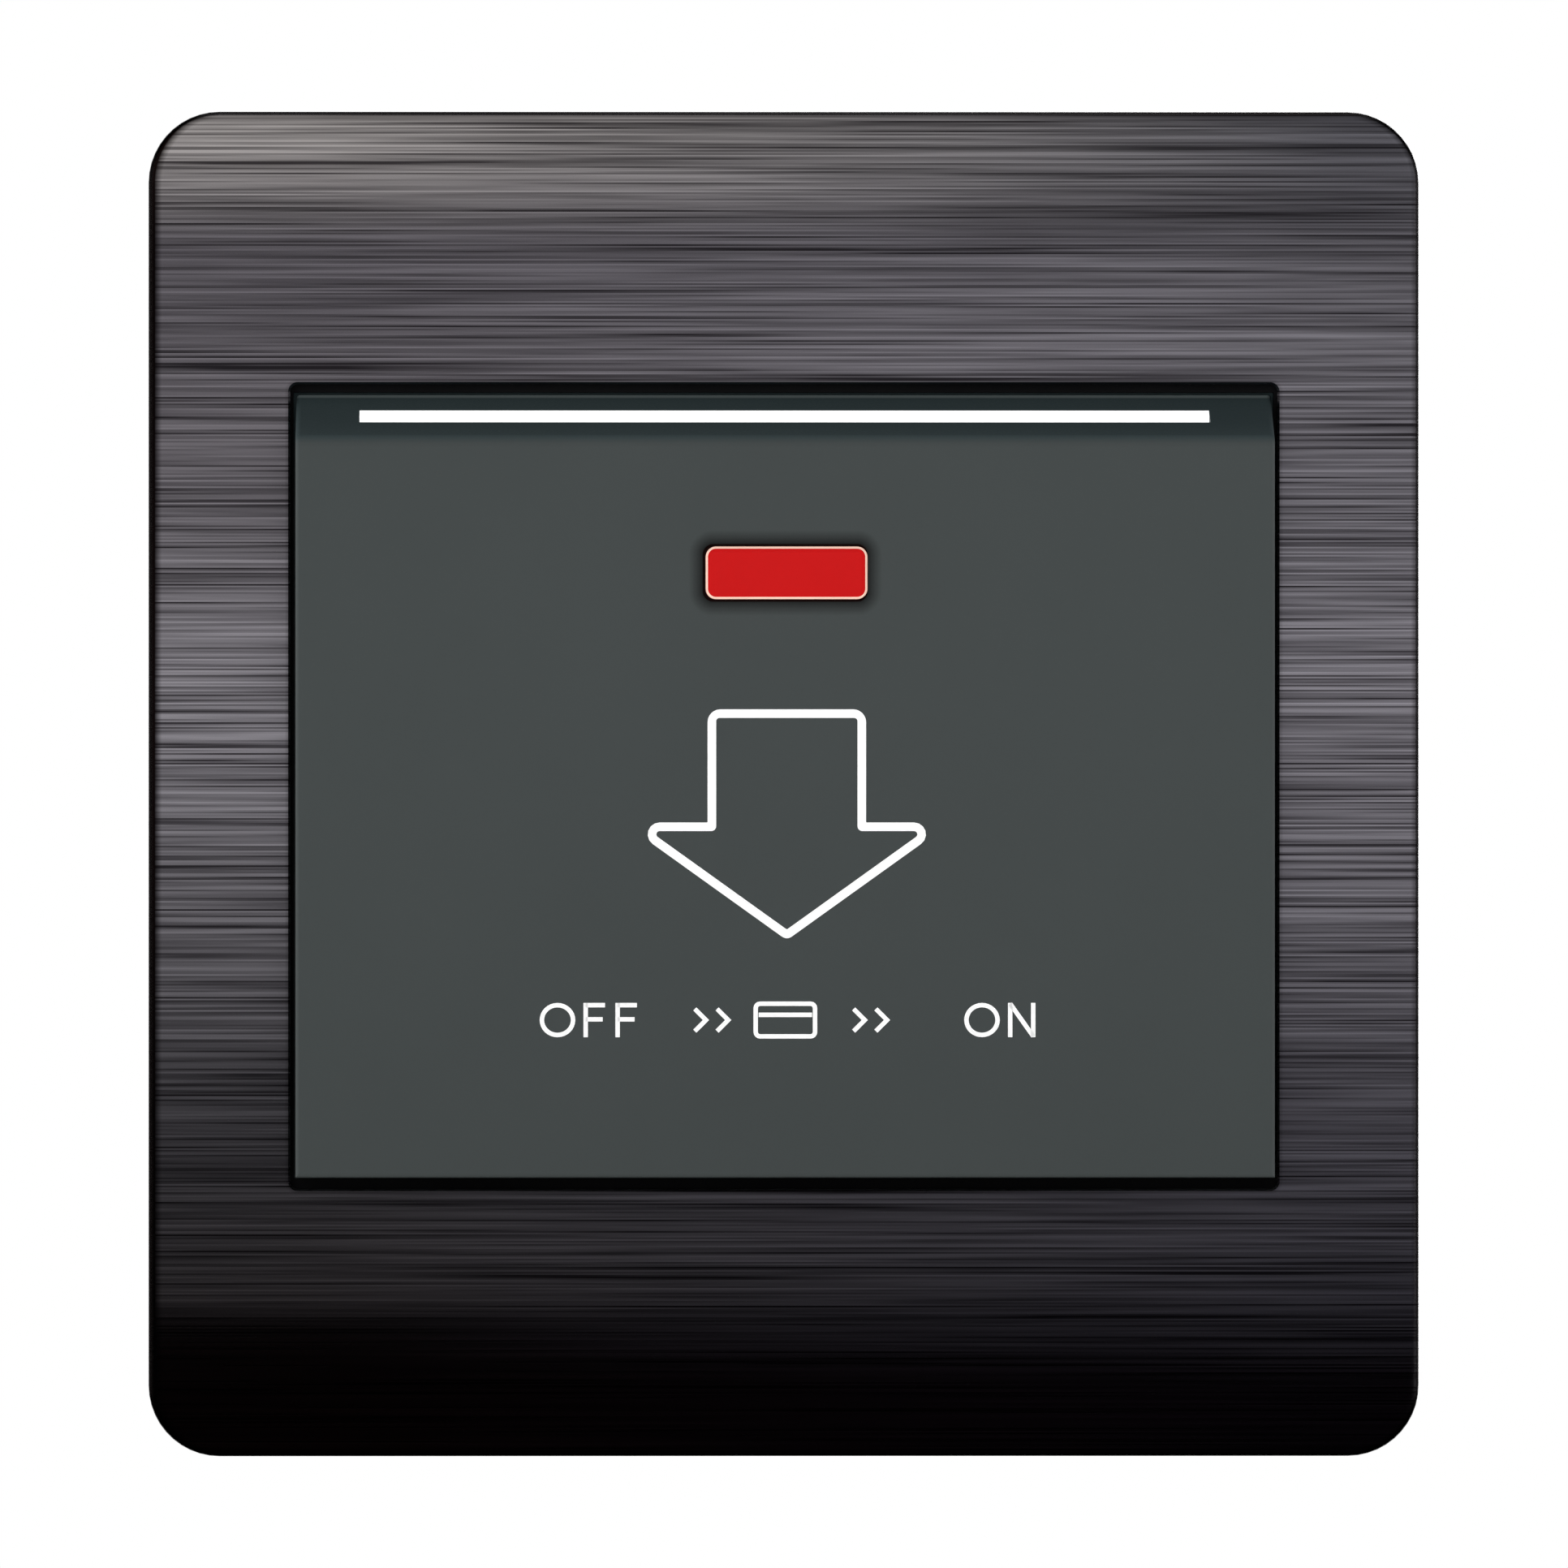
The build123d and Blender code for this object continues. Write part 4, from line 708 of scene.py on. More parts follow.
def run_tree(name: str, tree: Tree, sizes: dict, points: Sequence[Spot], edges: Iterable = ()) -> Work:
    """Runs a Geometry Nodes tree on bare points and edges, and keeps the result as plain mesh work.

    Args:
        name: name for what is made on the way.
        tree: the tree.
        sizes: values by the names of its inputs.
        points: the points it starts from, in millimetres.
        edges: pairs of points that are joined.

    Returns:
        The result, in metres.
    """
    mesh = bpy.data.meshes.new(name + "_points")
    mesh.from_pydata([tuple(v * MM for v in point) for point in points], list(edges), [])
    carrier = bpy.data.objects.new(name + "_points", mesh)
    bpy.context.scene.collection.objects.link(carrier)
    modifier = carrier.modifiers.new("nodes", "NODES")
    modifier.node_group = tree
    for socket in tree.interface.items_tree:
        if socket.name in sizes:
            modifier[socket.identifier] = sizes[socket.name]
    graph = bpy.context.evaluated_depsgraph_get()
    made = bpy.data.meshes.new_from_object(carrier.evaluated_get(graph))
    carrier.modifiers.clear()
    bpy.data.objects.remove(carrier)
    work = bmesh.new()
    work.from_mesh(made)
    for face in work.faces:
        face.material_index = 0
    return work


def rounded_loop(corners: Sequence[Point], radii: Sequence[float], steps: int = 6) -> list[Point]:
    """Rounds the corners of a closed outline, with the same number of points at each corner.

    Args:
        corners: the outline's corners in order.
        radii: one radius per corner.
        steps: arc pieces per corner.

    Returns:
        The rounded outline's points.
    """
    made: list[Point] = []
    count = len(corners)
    for i, here in enumerate(corners):
        corner = Vector(here)
        before = (Vector(corners[i - 1]) - corner).normalized()
        after = (Vector(corners[(i + 1) % count]) - corner).normalized()
        half = before.angle(after) / 2
        radius = max(radii[i], 1e-4)
        reach = radius / math.tan(half)
        centre = corner + (before + after).normalized() * (radius / math.sin(half))
        start = corner + before * reach - centre
        end = corner + after * reach - centre
        sweep = math.atan2(start.x * end.y - start.y * end.x, start.dot(end))
        for k in range(steps + 1):
            turned = Matrix.Rotation(sweep * k / steps, 2) @ start
            made.append(tuple(centre + turned))
    return made


def offset_outline(corners: Sequence[Point], shift: float) -> list[Point]:
    """Moves each side of a closed outline sideways, keeping its corners mitred.

    Args:
        corners: corners in order.
        shift: distance to the left of the way round.

    Returns:
        The moved corners.
    """
    made = []
    count = len(corners)
    for i, here in enumerate(corners):
        corner = Vector(here)
        into = (corner - Vector(corners[i - 1])).normalized()
        out = (Vector(corners[(i + 1) % count]) - corner).normalized()
        left_in, left_out = Vector((-into.y, into.x)), Vector((-out.y, out.x))
        bisector = (left_in + left_out).normalized()
        made.append(tuple(corner + bisector * (shift / bisector.dot(left_in))))
    return made


def new_row(work: Work, points: Iterable[Spot]) -> list[bmesh.types.BMVert]:
    """Adds points given in millimetres."""
    return [work.verts.new((x * MM, y * MM, z * MM)) for x, y, z in points]


def join_rows(work: Work, rows: list[list], closed: bool = True) -> None:
    """Joins rows of points by faces, each row to the next and the last to the first.

    Args:
        work: the mesh work.
        rows: rows with the same number of points.
        closed: whether each row runs round to its start.
    """
    count = len(rows[0])
    for a, b in zip(rows, rows[1:] + rows[:1]):
        for i in range(count if closed else count - 1):
            j = (i + 1) % count
            work.faces.new((a[i], a[j], b[j], b[i]))


def ring_solid(work: Work, outer: Sequence[Point], inner: Sequence[Point], levels: Point) -> None:
    """Adds a flat ring between two outlines with the same number of points, standing on a face.

    Args:
        work: the mesh work, in metres.
        outer: outer outline, x and z in millimetres.
        inner: inner outline.
        levels: Y of the ring's face and of its foot, in millimetres.
    """
    front, back = levels
    edges = ((outer, front), (inner, front), (inner, back), (outer, back))
    join_rows(work, [new_row(work, [(x, y, z) for x, z in outline]) for outline, y in edges])


def stroke_solid(work: Work, path: Sequence[Point], width: float, levels: Point, closed=False) -> None:
    """Adds a stroke of even width along a path, standing on a face.

    Args:
        work: the mesh work, in metres.
        path: the stroke's middle line, x and z in millimetres.
        width: its width in millimetres.
        levels: Y of its face and of its foot.
        closed: whether the path runs round to its start.
    """
    if closed:
        ring_solid(work, offset_outline(path, width / 2), offset_outline(path, -width / 2), levels)
        return
    front, back = levels
    left, right = [], []
    for i, here in enumerate(path):
        point = Vector(here)
        into = (point - Vector(path[i - 1])).normalized() if i else None
        out = (Vector(path[i + 1]) - point).normalized() if i + 1 < len(path) else None
        into, out = into or out, out or into
        normal_in, normal_out = Vector((-into.y, into.x)), Vector((-out.y, out.x))
        bisector = (normal_in + normal_out).normalized()
        step = bisector * (width / 2 / max(bisector.dot(normal_in), 0.3))
        left.append(point + step)
        right.append(point - step)
    edges = ((left, front), (right, front), (right, back), (left, back))
    rows = [new_row(work, [(p.x, y, p.y) for p in side]) for side, y in edges]
    join_rows(work, rows, closed=False)
    for i in (0, -1):
        work.faces.new([row[i] for row in rows])


def oval(middle: Point, half: Point, steps: int) -> list[Point]:
    """Points round an oval, from its right end, turning left.

    Args:
        middle: its middle.
        half: half its width and half its height.
        steps: number of points.

    Returns:
        The points.
    """
    angles = [2 * math.pi * k / steps for k in range(steps)]
    return [(middle[0] + half[0] * math.cos(a), middle[1] + half[1] * math.sin(a)) for a in angles]


def rectangle(x: float, z: float, half_width: float, half_height: float) -> list[Point]:
    """Corners of a rectangle, turning left."""
    return [
        (x - half_width, z - half_height),
        (x + half_width, z - half_height),
        (x + half_width, z + half_height),
        (x - half_width, z + half_height),
    ]


@dataclass(frozen=True)
class ScrewKind:
    """Sizes of one kind of screw, in millimetres, with its head's top at the start of its length."""

    name: str
    head_radius: float
    head_height: float
    crown: float
    shank_radius: float
    length: float
    thread_pitch: float
    thread_depth: float
    recess_length: float
    recess_width: float
    recess_depth: float

    def sizes(self) -> dict[str, float]:
        """Its sizes in metres, by the names of the tree's inputs."""
        sizes = {key: size for key, size in vars(self).items() if isinstance(size, float)}
        return {key.replace("_", " ").capitalize(): size * MM for key, size in sizes.items()}


@dataclass
class ScrewSet:
    """Screws of one kind, made by one Geometry Nodes tree and set where the CAD screws are."""

    kind: ScrewKind
    node: str
    columns: int
    from_back: bool = True
    crown_power: float = 2.4
    arm_step: float = 1.06

    def places(self) -> list[Spot]:
        """Where the heads' tops are, from the box of the CAD screws: even columns in one row or two.

        Returns:
            The places in millimetres.
        """
        low, high = node_box(self.node)
        edge = self.kind.head_radius
        reach = high.x - edge
        across = [reach * (2 * i / (self.columns - 1) - 1) for i in range(self.columns)]
        rows = [low.z + edge, high.z - edge]
        if rows[1] - rows[0] < edge:
            rows = [sum(rows) / 2]
        return [(x, high.y if self.from_back else low.y, z) for x in across for z in rows]

    def tree(self) -> Tree:
        """Builds the tree: crowned head less its recess, shank, thread, and one copy at each place.

        Returns:
            The node tree, its sizes as named inputs.
        """
        tree = bpy.data.node_groups.new(self.kind.name + "_tree", "GeometryNodeTree")
        tree.interface.new_socket("Places", in_out="INPUT", socket_type="NodeSocketGeometry")
        for name in self.kind.sizes():
            tree.interface.new_socket(name, in_out="INPUT", socket_type="NodeSocketFloat")
        tree.interface.new_socket("Screws", in_out="OUTPUT", socket_type="NodeSocketGeometry")
        given = add_node(tree, "NodeGroupInput").outputs
        maths = partial(sums, tree)
        tall, deep = given["Head height"], given["Thread depth"]

        def shaped(kind: str, feeds: dict, **settings) -> Socket:
            """Adds one mesh node and gives its mesh."""
            return add_node(tree, kind, feeds, **settings).outputs[0]

        def vector(x: Feed = 0.0, y: Feed = 0.0, z: Feed = 0.0) -> Socket:
            """Joins three numbers or sockets to a vector."""
            return add_node(tree, "ShaderNodeCombineXYZ", {0: x, 1: y, 2: z}).outputs[0]

        def raised(mesh: Socket, z: Feed) -> Socket:
            """Moves a mesh up by a number or socket."""
            return shaped("GeometryNodeTransform", {"Geometry": mesh, "Translation": vector(z=z)})

        disc = {"Vertices": 48, "Side Segments": 8, "Fill Segments": 4, "Radius": given["Head radius"]}
        head = shaped("GeometryNodeMeshCylinder", {**disc, "Depth": tall}, fill_type="NGON")
        at = add_node(tree, "GeometryNodeInputPosition").outputs[0]
        place = add_node(tree, "ShaderNodeSeparateXYZ", {0: at}).outputs
        foot, top = maths("MULTIPLY", tall, -0.1), maths("MULTIPLY", tall, 0.5)
        rise = maths("POWER", between(tree, place["Z"], 0.0, 1.0, foot, top), self.crown_power)
        fall = maths("DIVIDE", given["Crown"], given["Head radius"])
        drawn_in = maths("SUBTRACT", 1.0, maths("MULTIPLY", rise, fall))
        sides = [maths("MULTIPLY", place[axis], drawn_in) for axis in "XY"]
        head = shaped("GeometryNodeSetPosition", {"Geometry": head, "Position": vector(*sides, place["Z"])})
        head = raised(head, maths("MULTIPLY", tall, -0.5))
        long, wide, depth = (given["Recess " + name] for name in ("length", "width", "depth"))
        for sides, deeper in (((long, wide), 1.0), ((wide, long), self.arm_step)):
            size = vector(*sides, maths("MULTIPLY", depth, 2.0 * deeper))
            cut = {"Mesh 1": head, "Mesh 2": shaped("GeometryNodeMeshCube", {"Size": size})}
            head = shaped("GeometryNodeMeshBoolean", cut, operation="DIFFERENCE")
        core = maths("SUBTRACT", given["Shank radius"], maths("MULTIPLY", deep, 0.9))
        shank_length = maths("SUBTRACT", given["Length"], maths("MULTIPLY", tall, 0.5))
        rod = {"Vertices": 32, "Radius": core, "Depth": shank_length}
        shank = shaped("GeometryNodeMeshCylinder", rod, fill_type="NGON")
        shank = raised(shank, maths("MULTIPLY", maths("ADD", shank_length, tall), -0.5))
        free_length = maths("SUBTRACT", given["Length"], tall)
        thread_length = maths("SUBTRACT", free_length, maths("MULTIPLY", deep, 2.5))
        turns = maths("DIVIDE", thread_length, given["Thread pitch"])
        screw_line = {"Resolution": 24, "Rotations": turns, "Height": thread_length}
        spiral = shaped("GeometryNodeCurveSpiral", {**screw_line, "Start Radius": core, "End Radius": core})
        ridge = shaped("GeometryNodeCurvePrimitiveCircle", {"Resolution": 4, "Radius": deep})
        wound = {"Curve": spiral, "Profile Curve": ridge, "Fill Caps": True}
        thread = shaped("GeometryNodeCurveToMesh", wound)
        tip = maths("SUBTRACT", given["Length"], maths("MULTIPLY", deep, 1.2))
        thread = raised(thread, maths("MULTIPLY", tip, -1.0))
        screw = add_node(tree, "GeometryNodeJoinGeometry")
        for part in (head, shank, thread):
            tree.links.new(part, screw.inputs[0])
        facing = -math.pi / 2 if self.from_back else math.pi / 2
        copies = {"Points": given["Places"], "Instance": screw.outputs[0], "Rotation": (facing, 0.0, 0.0)}
        copies = shaped("GeometryNodeInstanceOnPoints", copies)
        real = shaped("GeometryNodeRealizeInstances", {"Geometry": copies})
        steel = Finishes.plated_steel.value.material()
        skin = shaped("GeometryNodeSetMaterial", {"Geometry": real, "Material": steel})
        add_node(tree, "NodeGroupOutput", {0: skin})
        return tree

    def build(self) -> None:
        """Makes the screws as one plain mesh that stands for their CAD node."""
        work = run_tree(self.kind.name, self.tree(), self.kind.sizes(), self.places())
        piece = new_piece(self.kind.name, work, [Finishes.plated_steel.value])
        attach(piece, "base")
        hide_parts(self.node)
        LOG.info("screws: %s, %d faces", piece.name, len(piece.data.polygons))


@dataclass
class WirePiece:
    """A round wire along a path, made by one Geometry Nodes tree."""

    name: str
    wire: float
    sides: int
    finish: Finishes

    def tree(self) -> Tree:
        """Builds the tree: a path of edges swept by a circle.

        Returns:
            The node tree, with the path, the wire's radius and its number of sides as named inputs.
        """
        tree = bpy.data.node_groups.new(self.name + "_tree", "GeometryNodeTree")
        tree.interface.new_socket("Path", in_out="INPUT", socket_type="NodeSocketGeometry")
        tree.interface.new_socket("Wire radius", in_out="INPUT", socket_type="NodeSocketFloat")
        tree.interface.new_socket("Sides", in_out="INPUT", socket_type="NodeSocketInt")
        tree.interface.new_socket("Wire", in_out="OUTPUT", socket_type="NodeSocketGeometry")
        given = add_node(tree, "NodeGroupInput").outputs
        line = add_node(tree, "GeometryNodeMeshToCurve", {0: given["Path"]}).outputs[0]
        ring = {"Resolution": given["Sides"], "Radius": given["Wire radius"]}
        ring = add_node(tree, "GeometryNodeCurvePrimitiveCircle", ring).outputs[0]
        swept = {"Curve": line, "Profile Curve": ring, "Fill Caps": True}
        swept = add_node(tree, "GeometryNodeCurveToMesh", swept).outputs[0]
        real = add_node(tree, "GeometryNodeRealizeInstances", {"Geometry": swept}).outputs[0]
        skin = {"Geometry": real, "Material": self.finish.value.material()}
        add_node(tree, "NodeGroupOutput", {0: add_node(tree, "GeometryNodeSetMaterial", skin).outputs[0]})
        return tree

    def sweep(self, path: Sequence[Spot]) -> Work:
        """Sweeps the wire along a path.

        Args:
            path: points in millimetres.

        Returns:
            The wire as mesh work in metres.
        """
        edges = [(i, i + 1) for i in range(len(path) - 1)]
        sizes = {"Wire radius": self.wire / 2 * MM, "Sides": self.sides}
        work = run_tree(self.name, self.tree(), sizes, path, edges)
        for face in work.faces:
            face.smooth = len(face.verts) == 4
        return work

    def coil(self, start: Spot, radius: float, pitch: float, turns: int, steps: int) -> list[Spot]:
        """Points along a coil round a level axis, from its front, turning down.

        Args:
            start: the point of its axis where it starts.
            radius: radius to the wire's middle.
            pitch: distance between turns.
            turns: number of turns.
            steps: points in each turn.

        Returns:
            The points in millimetres.
        """
        x, y, z = start
        made = []
        for k in range(turns * steps + 1):
            turn = 2 * math.pi * k / steps
            made.append((x + pitch * k / steps, y - radius * math.cos(turn), z - radius * math.sin(turn)))
        return made


@dataclass
class FrontFrame(SubAssembly):
    """The brushed face plate, the moulding behind it, its clips and the carrier."""

    nodes: tuple[str, ...] = ("face_plate", "snap_frame", "frame_clips", "carrier")


@dataclass
class IndicatorLens:
    """Red lens with a polished bevel in a painted highlight, its flange behind the pocket's wall in painted
    shade.
    """

    nudge: float = 0.08
    play: float = 0.05
    corner: float = 0.7
    bevel: float = 0.17
    flange: float = 1.1
    flange_thickness: float = 0.9

    def outline(self, margin: float) -> list[Point]:
        """Rounded outline of the lens, grown or shrunk all round.

        Args:
            margin: how far out, in millimetres.

        Returns:
            Points in x and z.
        """
        low, high = node_box("indicator_lens")
        reach = margin - self.flange
        half_height = (high.z - low.z) / 2 + reach - self.play
        sides = rectangle(self.nudge, (low.z + high.z) / 2, high.x + reach, half_height)
        return rounded_loop(sides, [max(self.corner + margin, 0.12)] * 4, 8)

    def build(self) -> None:
        """Lofts the lens from rings, back flange to crowned face."""
        front, back = (corner.y for corner in node_box("indicator_lens"))
        shoulder, edge = back - self.flange_thickness, front + self.bevel
        rings = [
            (self.outline(self.flange), back),
            (self.outline(self.flange), shoulder),
            (self.outline(0.0), shoulder),
            (self.outline(0.0), edge),
            (self.outline(-0.02), edge - 0.03),
            (self.outline(-self.bevel + 0.02), front + 0.03),
            (self.outline(-self.bevel - 0.03), front + 0.005),
            (self.outline(-self.bevel - 0.3), front),
        ]
        work = bmesh.new()
        rows = [new_row(work, [(x, y, z) for x, z in outline]) for outline, y in rings]
        count = len(rows[0])
        for level, (a, b) in enumerate(zip(rows, rows[1:])):
            for i in range(count):
                j = (i + 1) % count
                face = work.faces.new((a[i], a[j], b[j], b[i]))
                face.smooth = level > 2
                # Slot 1 is the bevel's painted highlight, slot 2 the flange's painted shade
                face.material_index = (2, 2, 1, 1, 1, 0, 0)[level]
        work.faces.new(rows[0]).material_index = 2
        work.faces.new(rows[-1])
        piece = new_piece("lens_with_painted_rim_highlight", work, (Finishes.lens_red.value, LENS_RIM_HIGHLIGHT, LENS_FLANGE_SHADE))
        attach(piece, "front")
        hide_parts("indicator_lens")
        LOG.info("lens: %d faces", len(piece.data.polygons))


@dataclass
class PrintedMarks:
    """White ink on the pocket: the outlined arrow and a row of plain signs below it."""

    face: float = -16.0
    ink: float = 0.02
    sunk: float = 0.01
    stroke: float = 0.58
    arrow_middle: float = 0.1
    arrow_shaft: float = 5.05
    arrow_head: float = 10.16
    arrow_top: float = 4.74
    arrow_shoulder: float = -2.88
    arrow_tip: float = -10.16
    arrow_outer: tuple[float, ...] = (0.86, 0.86, 0.05, 0.8, 0.55, 0.8, 0.05)
    arrow_inner: tuple[float, ...] = (0.22, 0.22, 0.33, 0.22, 0.12, 0.22, 0.33)
    thin: float = 0.3
    row: float = -15.9
    sign_height: float = 2.31
    letter_gap: float = 0.85
    letter_widths: tuple[tuple[str, float], ...] = (("O", 2.1), ("N", 1.55), ("F", 1.3))
    words: tuple[tuple[str, float], ...] = (("OFF", -16.4), ("ON", 12.2))
    arm_rise: float = 0.05
    arm_share: float = 0.88
    slant_inset: float = 0.06
    card_half: Point = (2.0, 1.1)
    card_corner: float = 0.3
    stripe: float = 0.35
    stripe_inset: float = 0.2
    chevron_start: float = 4.6
    chevron_step: float = 1.5
    chevron_reach: float = 0.75

    def levels(self) -> Point:
        """Y of the ink's face and of its foot, just inside the moulding."""
        return self.face - self.ink, self.face + self.sunk

    def arrow(self) -> None:
        """Outlined arrow that points down into the pocket."""
        middle, shoulder = self.arrow_middle, self.arrow_shoulder
        shaft, head = self.arrow_shaft, self.arrow_head
        line = [
            (middle + shaft, self.arrow_top),
            (middle - shaft, self.arrow_top),
            (middle - shaft, shoulder),
            (middle - head, shoulder),
            (middle, self.arrow_tip),
            (middle + head, shoulder),
            (middle + shaft, shoulder),
        ]
        half = self.stroke / 2
        outer = rounded_loop(offset_outline(line, -half), self.arrow_outer)
        inner = rounded_loop(offset_outline(line, half), self.arrow_inner)
        work = bmesh.new()
        ring_solid(work, outer, inner, self.levels())
        piece = new_piece("arrow_print", work, [WHITE_INK])
        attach(piece, "front")

    def letter(self, work: Work, letter: str, x: float, wide: float) -> None:
        """Adds one plain capital from strokes.

        Args:
            work: the mesh work.
            letter: O, N or F.
            x: its left edge.
            wide: its width.
        """
        reach, half, levels = self.sign_height / 2, self.thin / 2, self.levels()
        low, high = self.row - reach, self.row + reach
        if letter == "O":
            ring = oval((x + wide / 2, self.row), (wide / 2, reach - half), 32)
            stroke_solid(work, ring, self.thin, levels, closed=True)
            return
        lines = [[(x, low), (x, high)]]
        if letter == "N":
            inset = self.slant_inset
            lines += [[(x + wide, low), (x + wide, high)], [(x, high - inset), (x + wide, low + inset)]]
        else:
            top, arm, end = high - half, self.row + self.arm_rise, x + wide * self.arm_share
            lines += [[(x, top), (x + wide, top)], [(x, arm), (end, arm)]]
        for line in lines:
            stroke_solid(work, line, self.thin, levels)

    def signs(self) -> None:
        """Row of plain signs: OFF, a card outline with its stripe between chevrons, and ON."""
        work = bmesh.new()
        widths = dict(self.letter_widths)
        for word, x in self.words:
            for letter in word:
                self.letter(work, letter, x, widths[letter])
                x += widths[letter] + self.letter_gap
        card = rounded_loop(rectangle(0.0, self.row, *self.card_half), [self.card_corner] * 4, 4)
        stroke_solid(work, card, self.thin, self.levels(), closed=True)
        end = self.card_half[0] - self.stripe_inset
        stripe = [(-end, self.row + self.stripe), (end, self.row + self.stripe)]
        stroke_solid(work, stripe, self.thin, self.levels())
        reach = self.chevron_reach
        for side in (-1, 1):
            for step in (0, 1):
                x = side * (self.chevron_start + self.chevron_step * step)
                bar = [(x, self.row + reach), (x + reach, self.row), (x, self.row - reach)]
                stroke_solid(work, bar, self.thin, self.levels())
        piece = new_piece("sign_print", work, [WHITE_INK])
        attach(piece, "front")

    def build(self) -> None:
        """Prints both marks."""
        self.arrow()
        self.signs()
        LOG.info("printed marks on the pocket")


@dataclass
class CardPocket(SubAssembly):
    """The slate pocket with its light guide."""

    nodes: tuple[str, ...] = ("pocket_cover", "slot_light_guide")


@dataclass
class CardSensor(SubAssembly):
    """The card channel with its lever, spring and snap switch."""

    nodes: tuple[str, ...] = (
        "card_channel",
        "card_lever",
        "lever_pin",
        "switch_case",
        "switch_cover",
        "switch_plunger",
        "contact_leaf",
        "leaf_contacts",
        "switch_terminals",
    )

    spring_wire: float = 0.5
    spring_pitch: float = 0.95
    spring_turns: int = 3

    def spring(self) -> None:
        """Winds the lever's spring, its legs reaching to the top and the bottom of the CAD spring's box."""
        low, high = node_box("lever_spring")
        middle, reach = (low + high) / 2, (high - low) / 2
        half = self.spring_turns * self.spring_pitch / 2
        wire = WirePiece("lever_torsion_spring", self.spring_wire, 12, Finishes.spring_steel)
        start = (middle.x - half, middle.y, middle.z)
        path = wire.coil(start, reach.y - self.spring_wire / 2, self.spring_pitch, self.spring_turns, 28)
        path = [path[0][:2] + (high.z,), *path, path[-1][:2] + (low.z,)]
        piece = new_piece(wire.name, wire.sweep(path), [wire.finish.value])
        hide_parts("lever_spring")
        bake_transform(piece)
        LOG.info("lever spring: %d faces", len(piece.data.polygons))

    def build(self) -> None:
        """Dresses the sensing works and winds the spring."""
        super().build()
        self.spring()


@dataclass
class RelayWorks(SubAssembly):
    """The relay and the parts on the board."""

    nodes: tuple[str, ...] = (
        "circuit_board",
        "relay_cover",
        "relay_base",
        "relay_bobbin",
        "relay_yoke",
        "relay_armature",
        "relay_blade",
        "relay_contacts",
        "film_capacitor",
        "electrolytic_capacitor",
        "varistor",
        "pin_header",
        "resistors",
        "rectifier",
        "delay_chip",
        "driver_transistor",
        "led_board",
        "slot_leds",
        "indicator_led",
    )

    winding_wire: float = 0.3
    winding_bore: float = 2.4

    def winding(self) -> None:
        """Winds the relay's coil: the outer layer of wire turn by turn over the layers below it."""
        low, high = node_box("relay_winding")
        middle, layer = (low + high) / 2, (high.z - low.z - self.winding_wire) / 2
        wire = WirePiece("relay_coil_winding", self.winding_wire, 8, Finishes.winding_copper)
        length = high.x - low.x - self.winding_wire
        turns = math.floor(length / self.winding_wire)
        start = (low.x + self.winding_wire / 2, middle.y, middle.z)
        work = wire.sweep(wire.coil(start, layer, length / turns, turns, 32))
        bore = self.winding_bore
        rows = []
        for x, size in ((low.x, layer), (high.x, layer), (high.x, bore), (low.x, bore)):
            ring = oval((middle.y, middle.z), (size, size), 48)
            rows.append(new_row(work, [(x, y, z) for y, z in ring]))
        join_rows(work, rows)
        piece = new_piece(wire.name, work, [wire.finish.value])
        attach(piece, "base")
        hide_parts("relay_winding")
        LOG.info("relay winding: %d turns, %d faces", turns, len(piece.data.polygons))

    def build(self) -> None:
        """Dresses the electronics and winds the relay's coil."""
        super().build()
        self.winding()


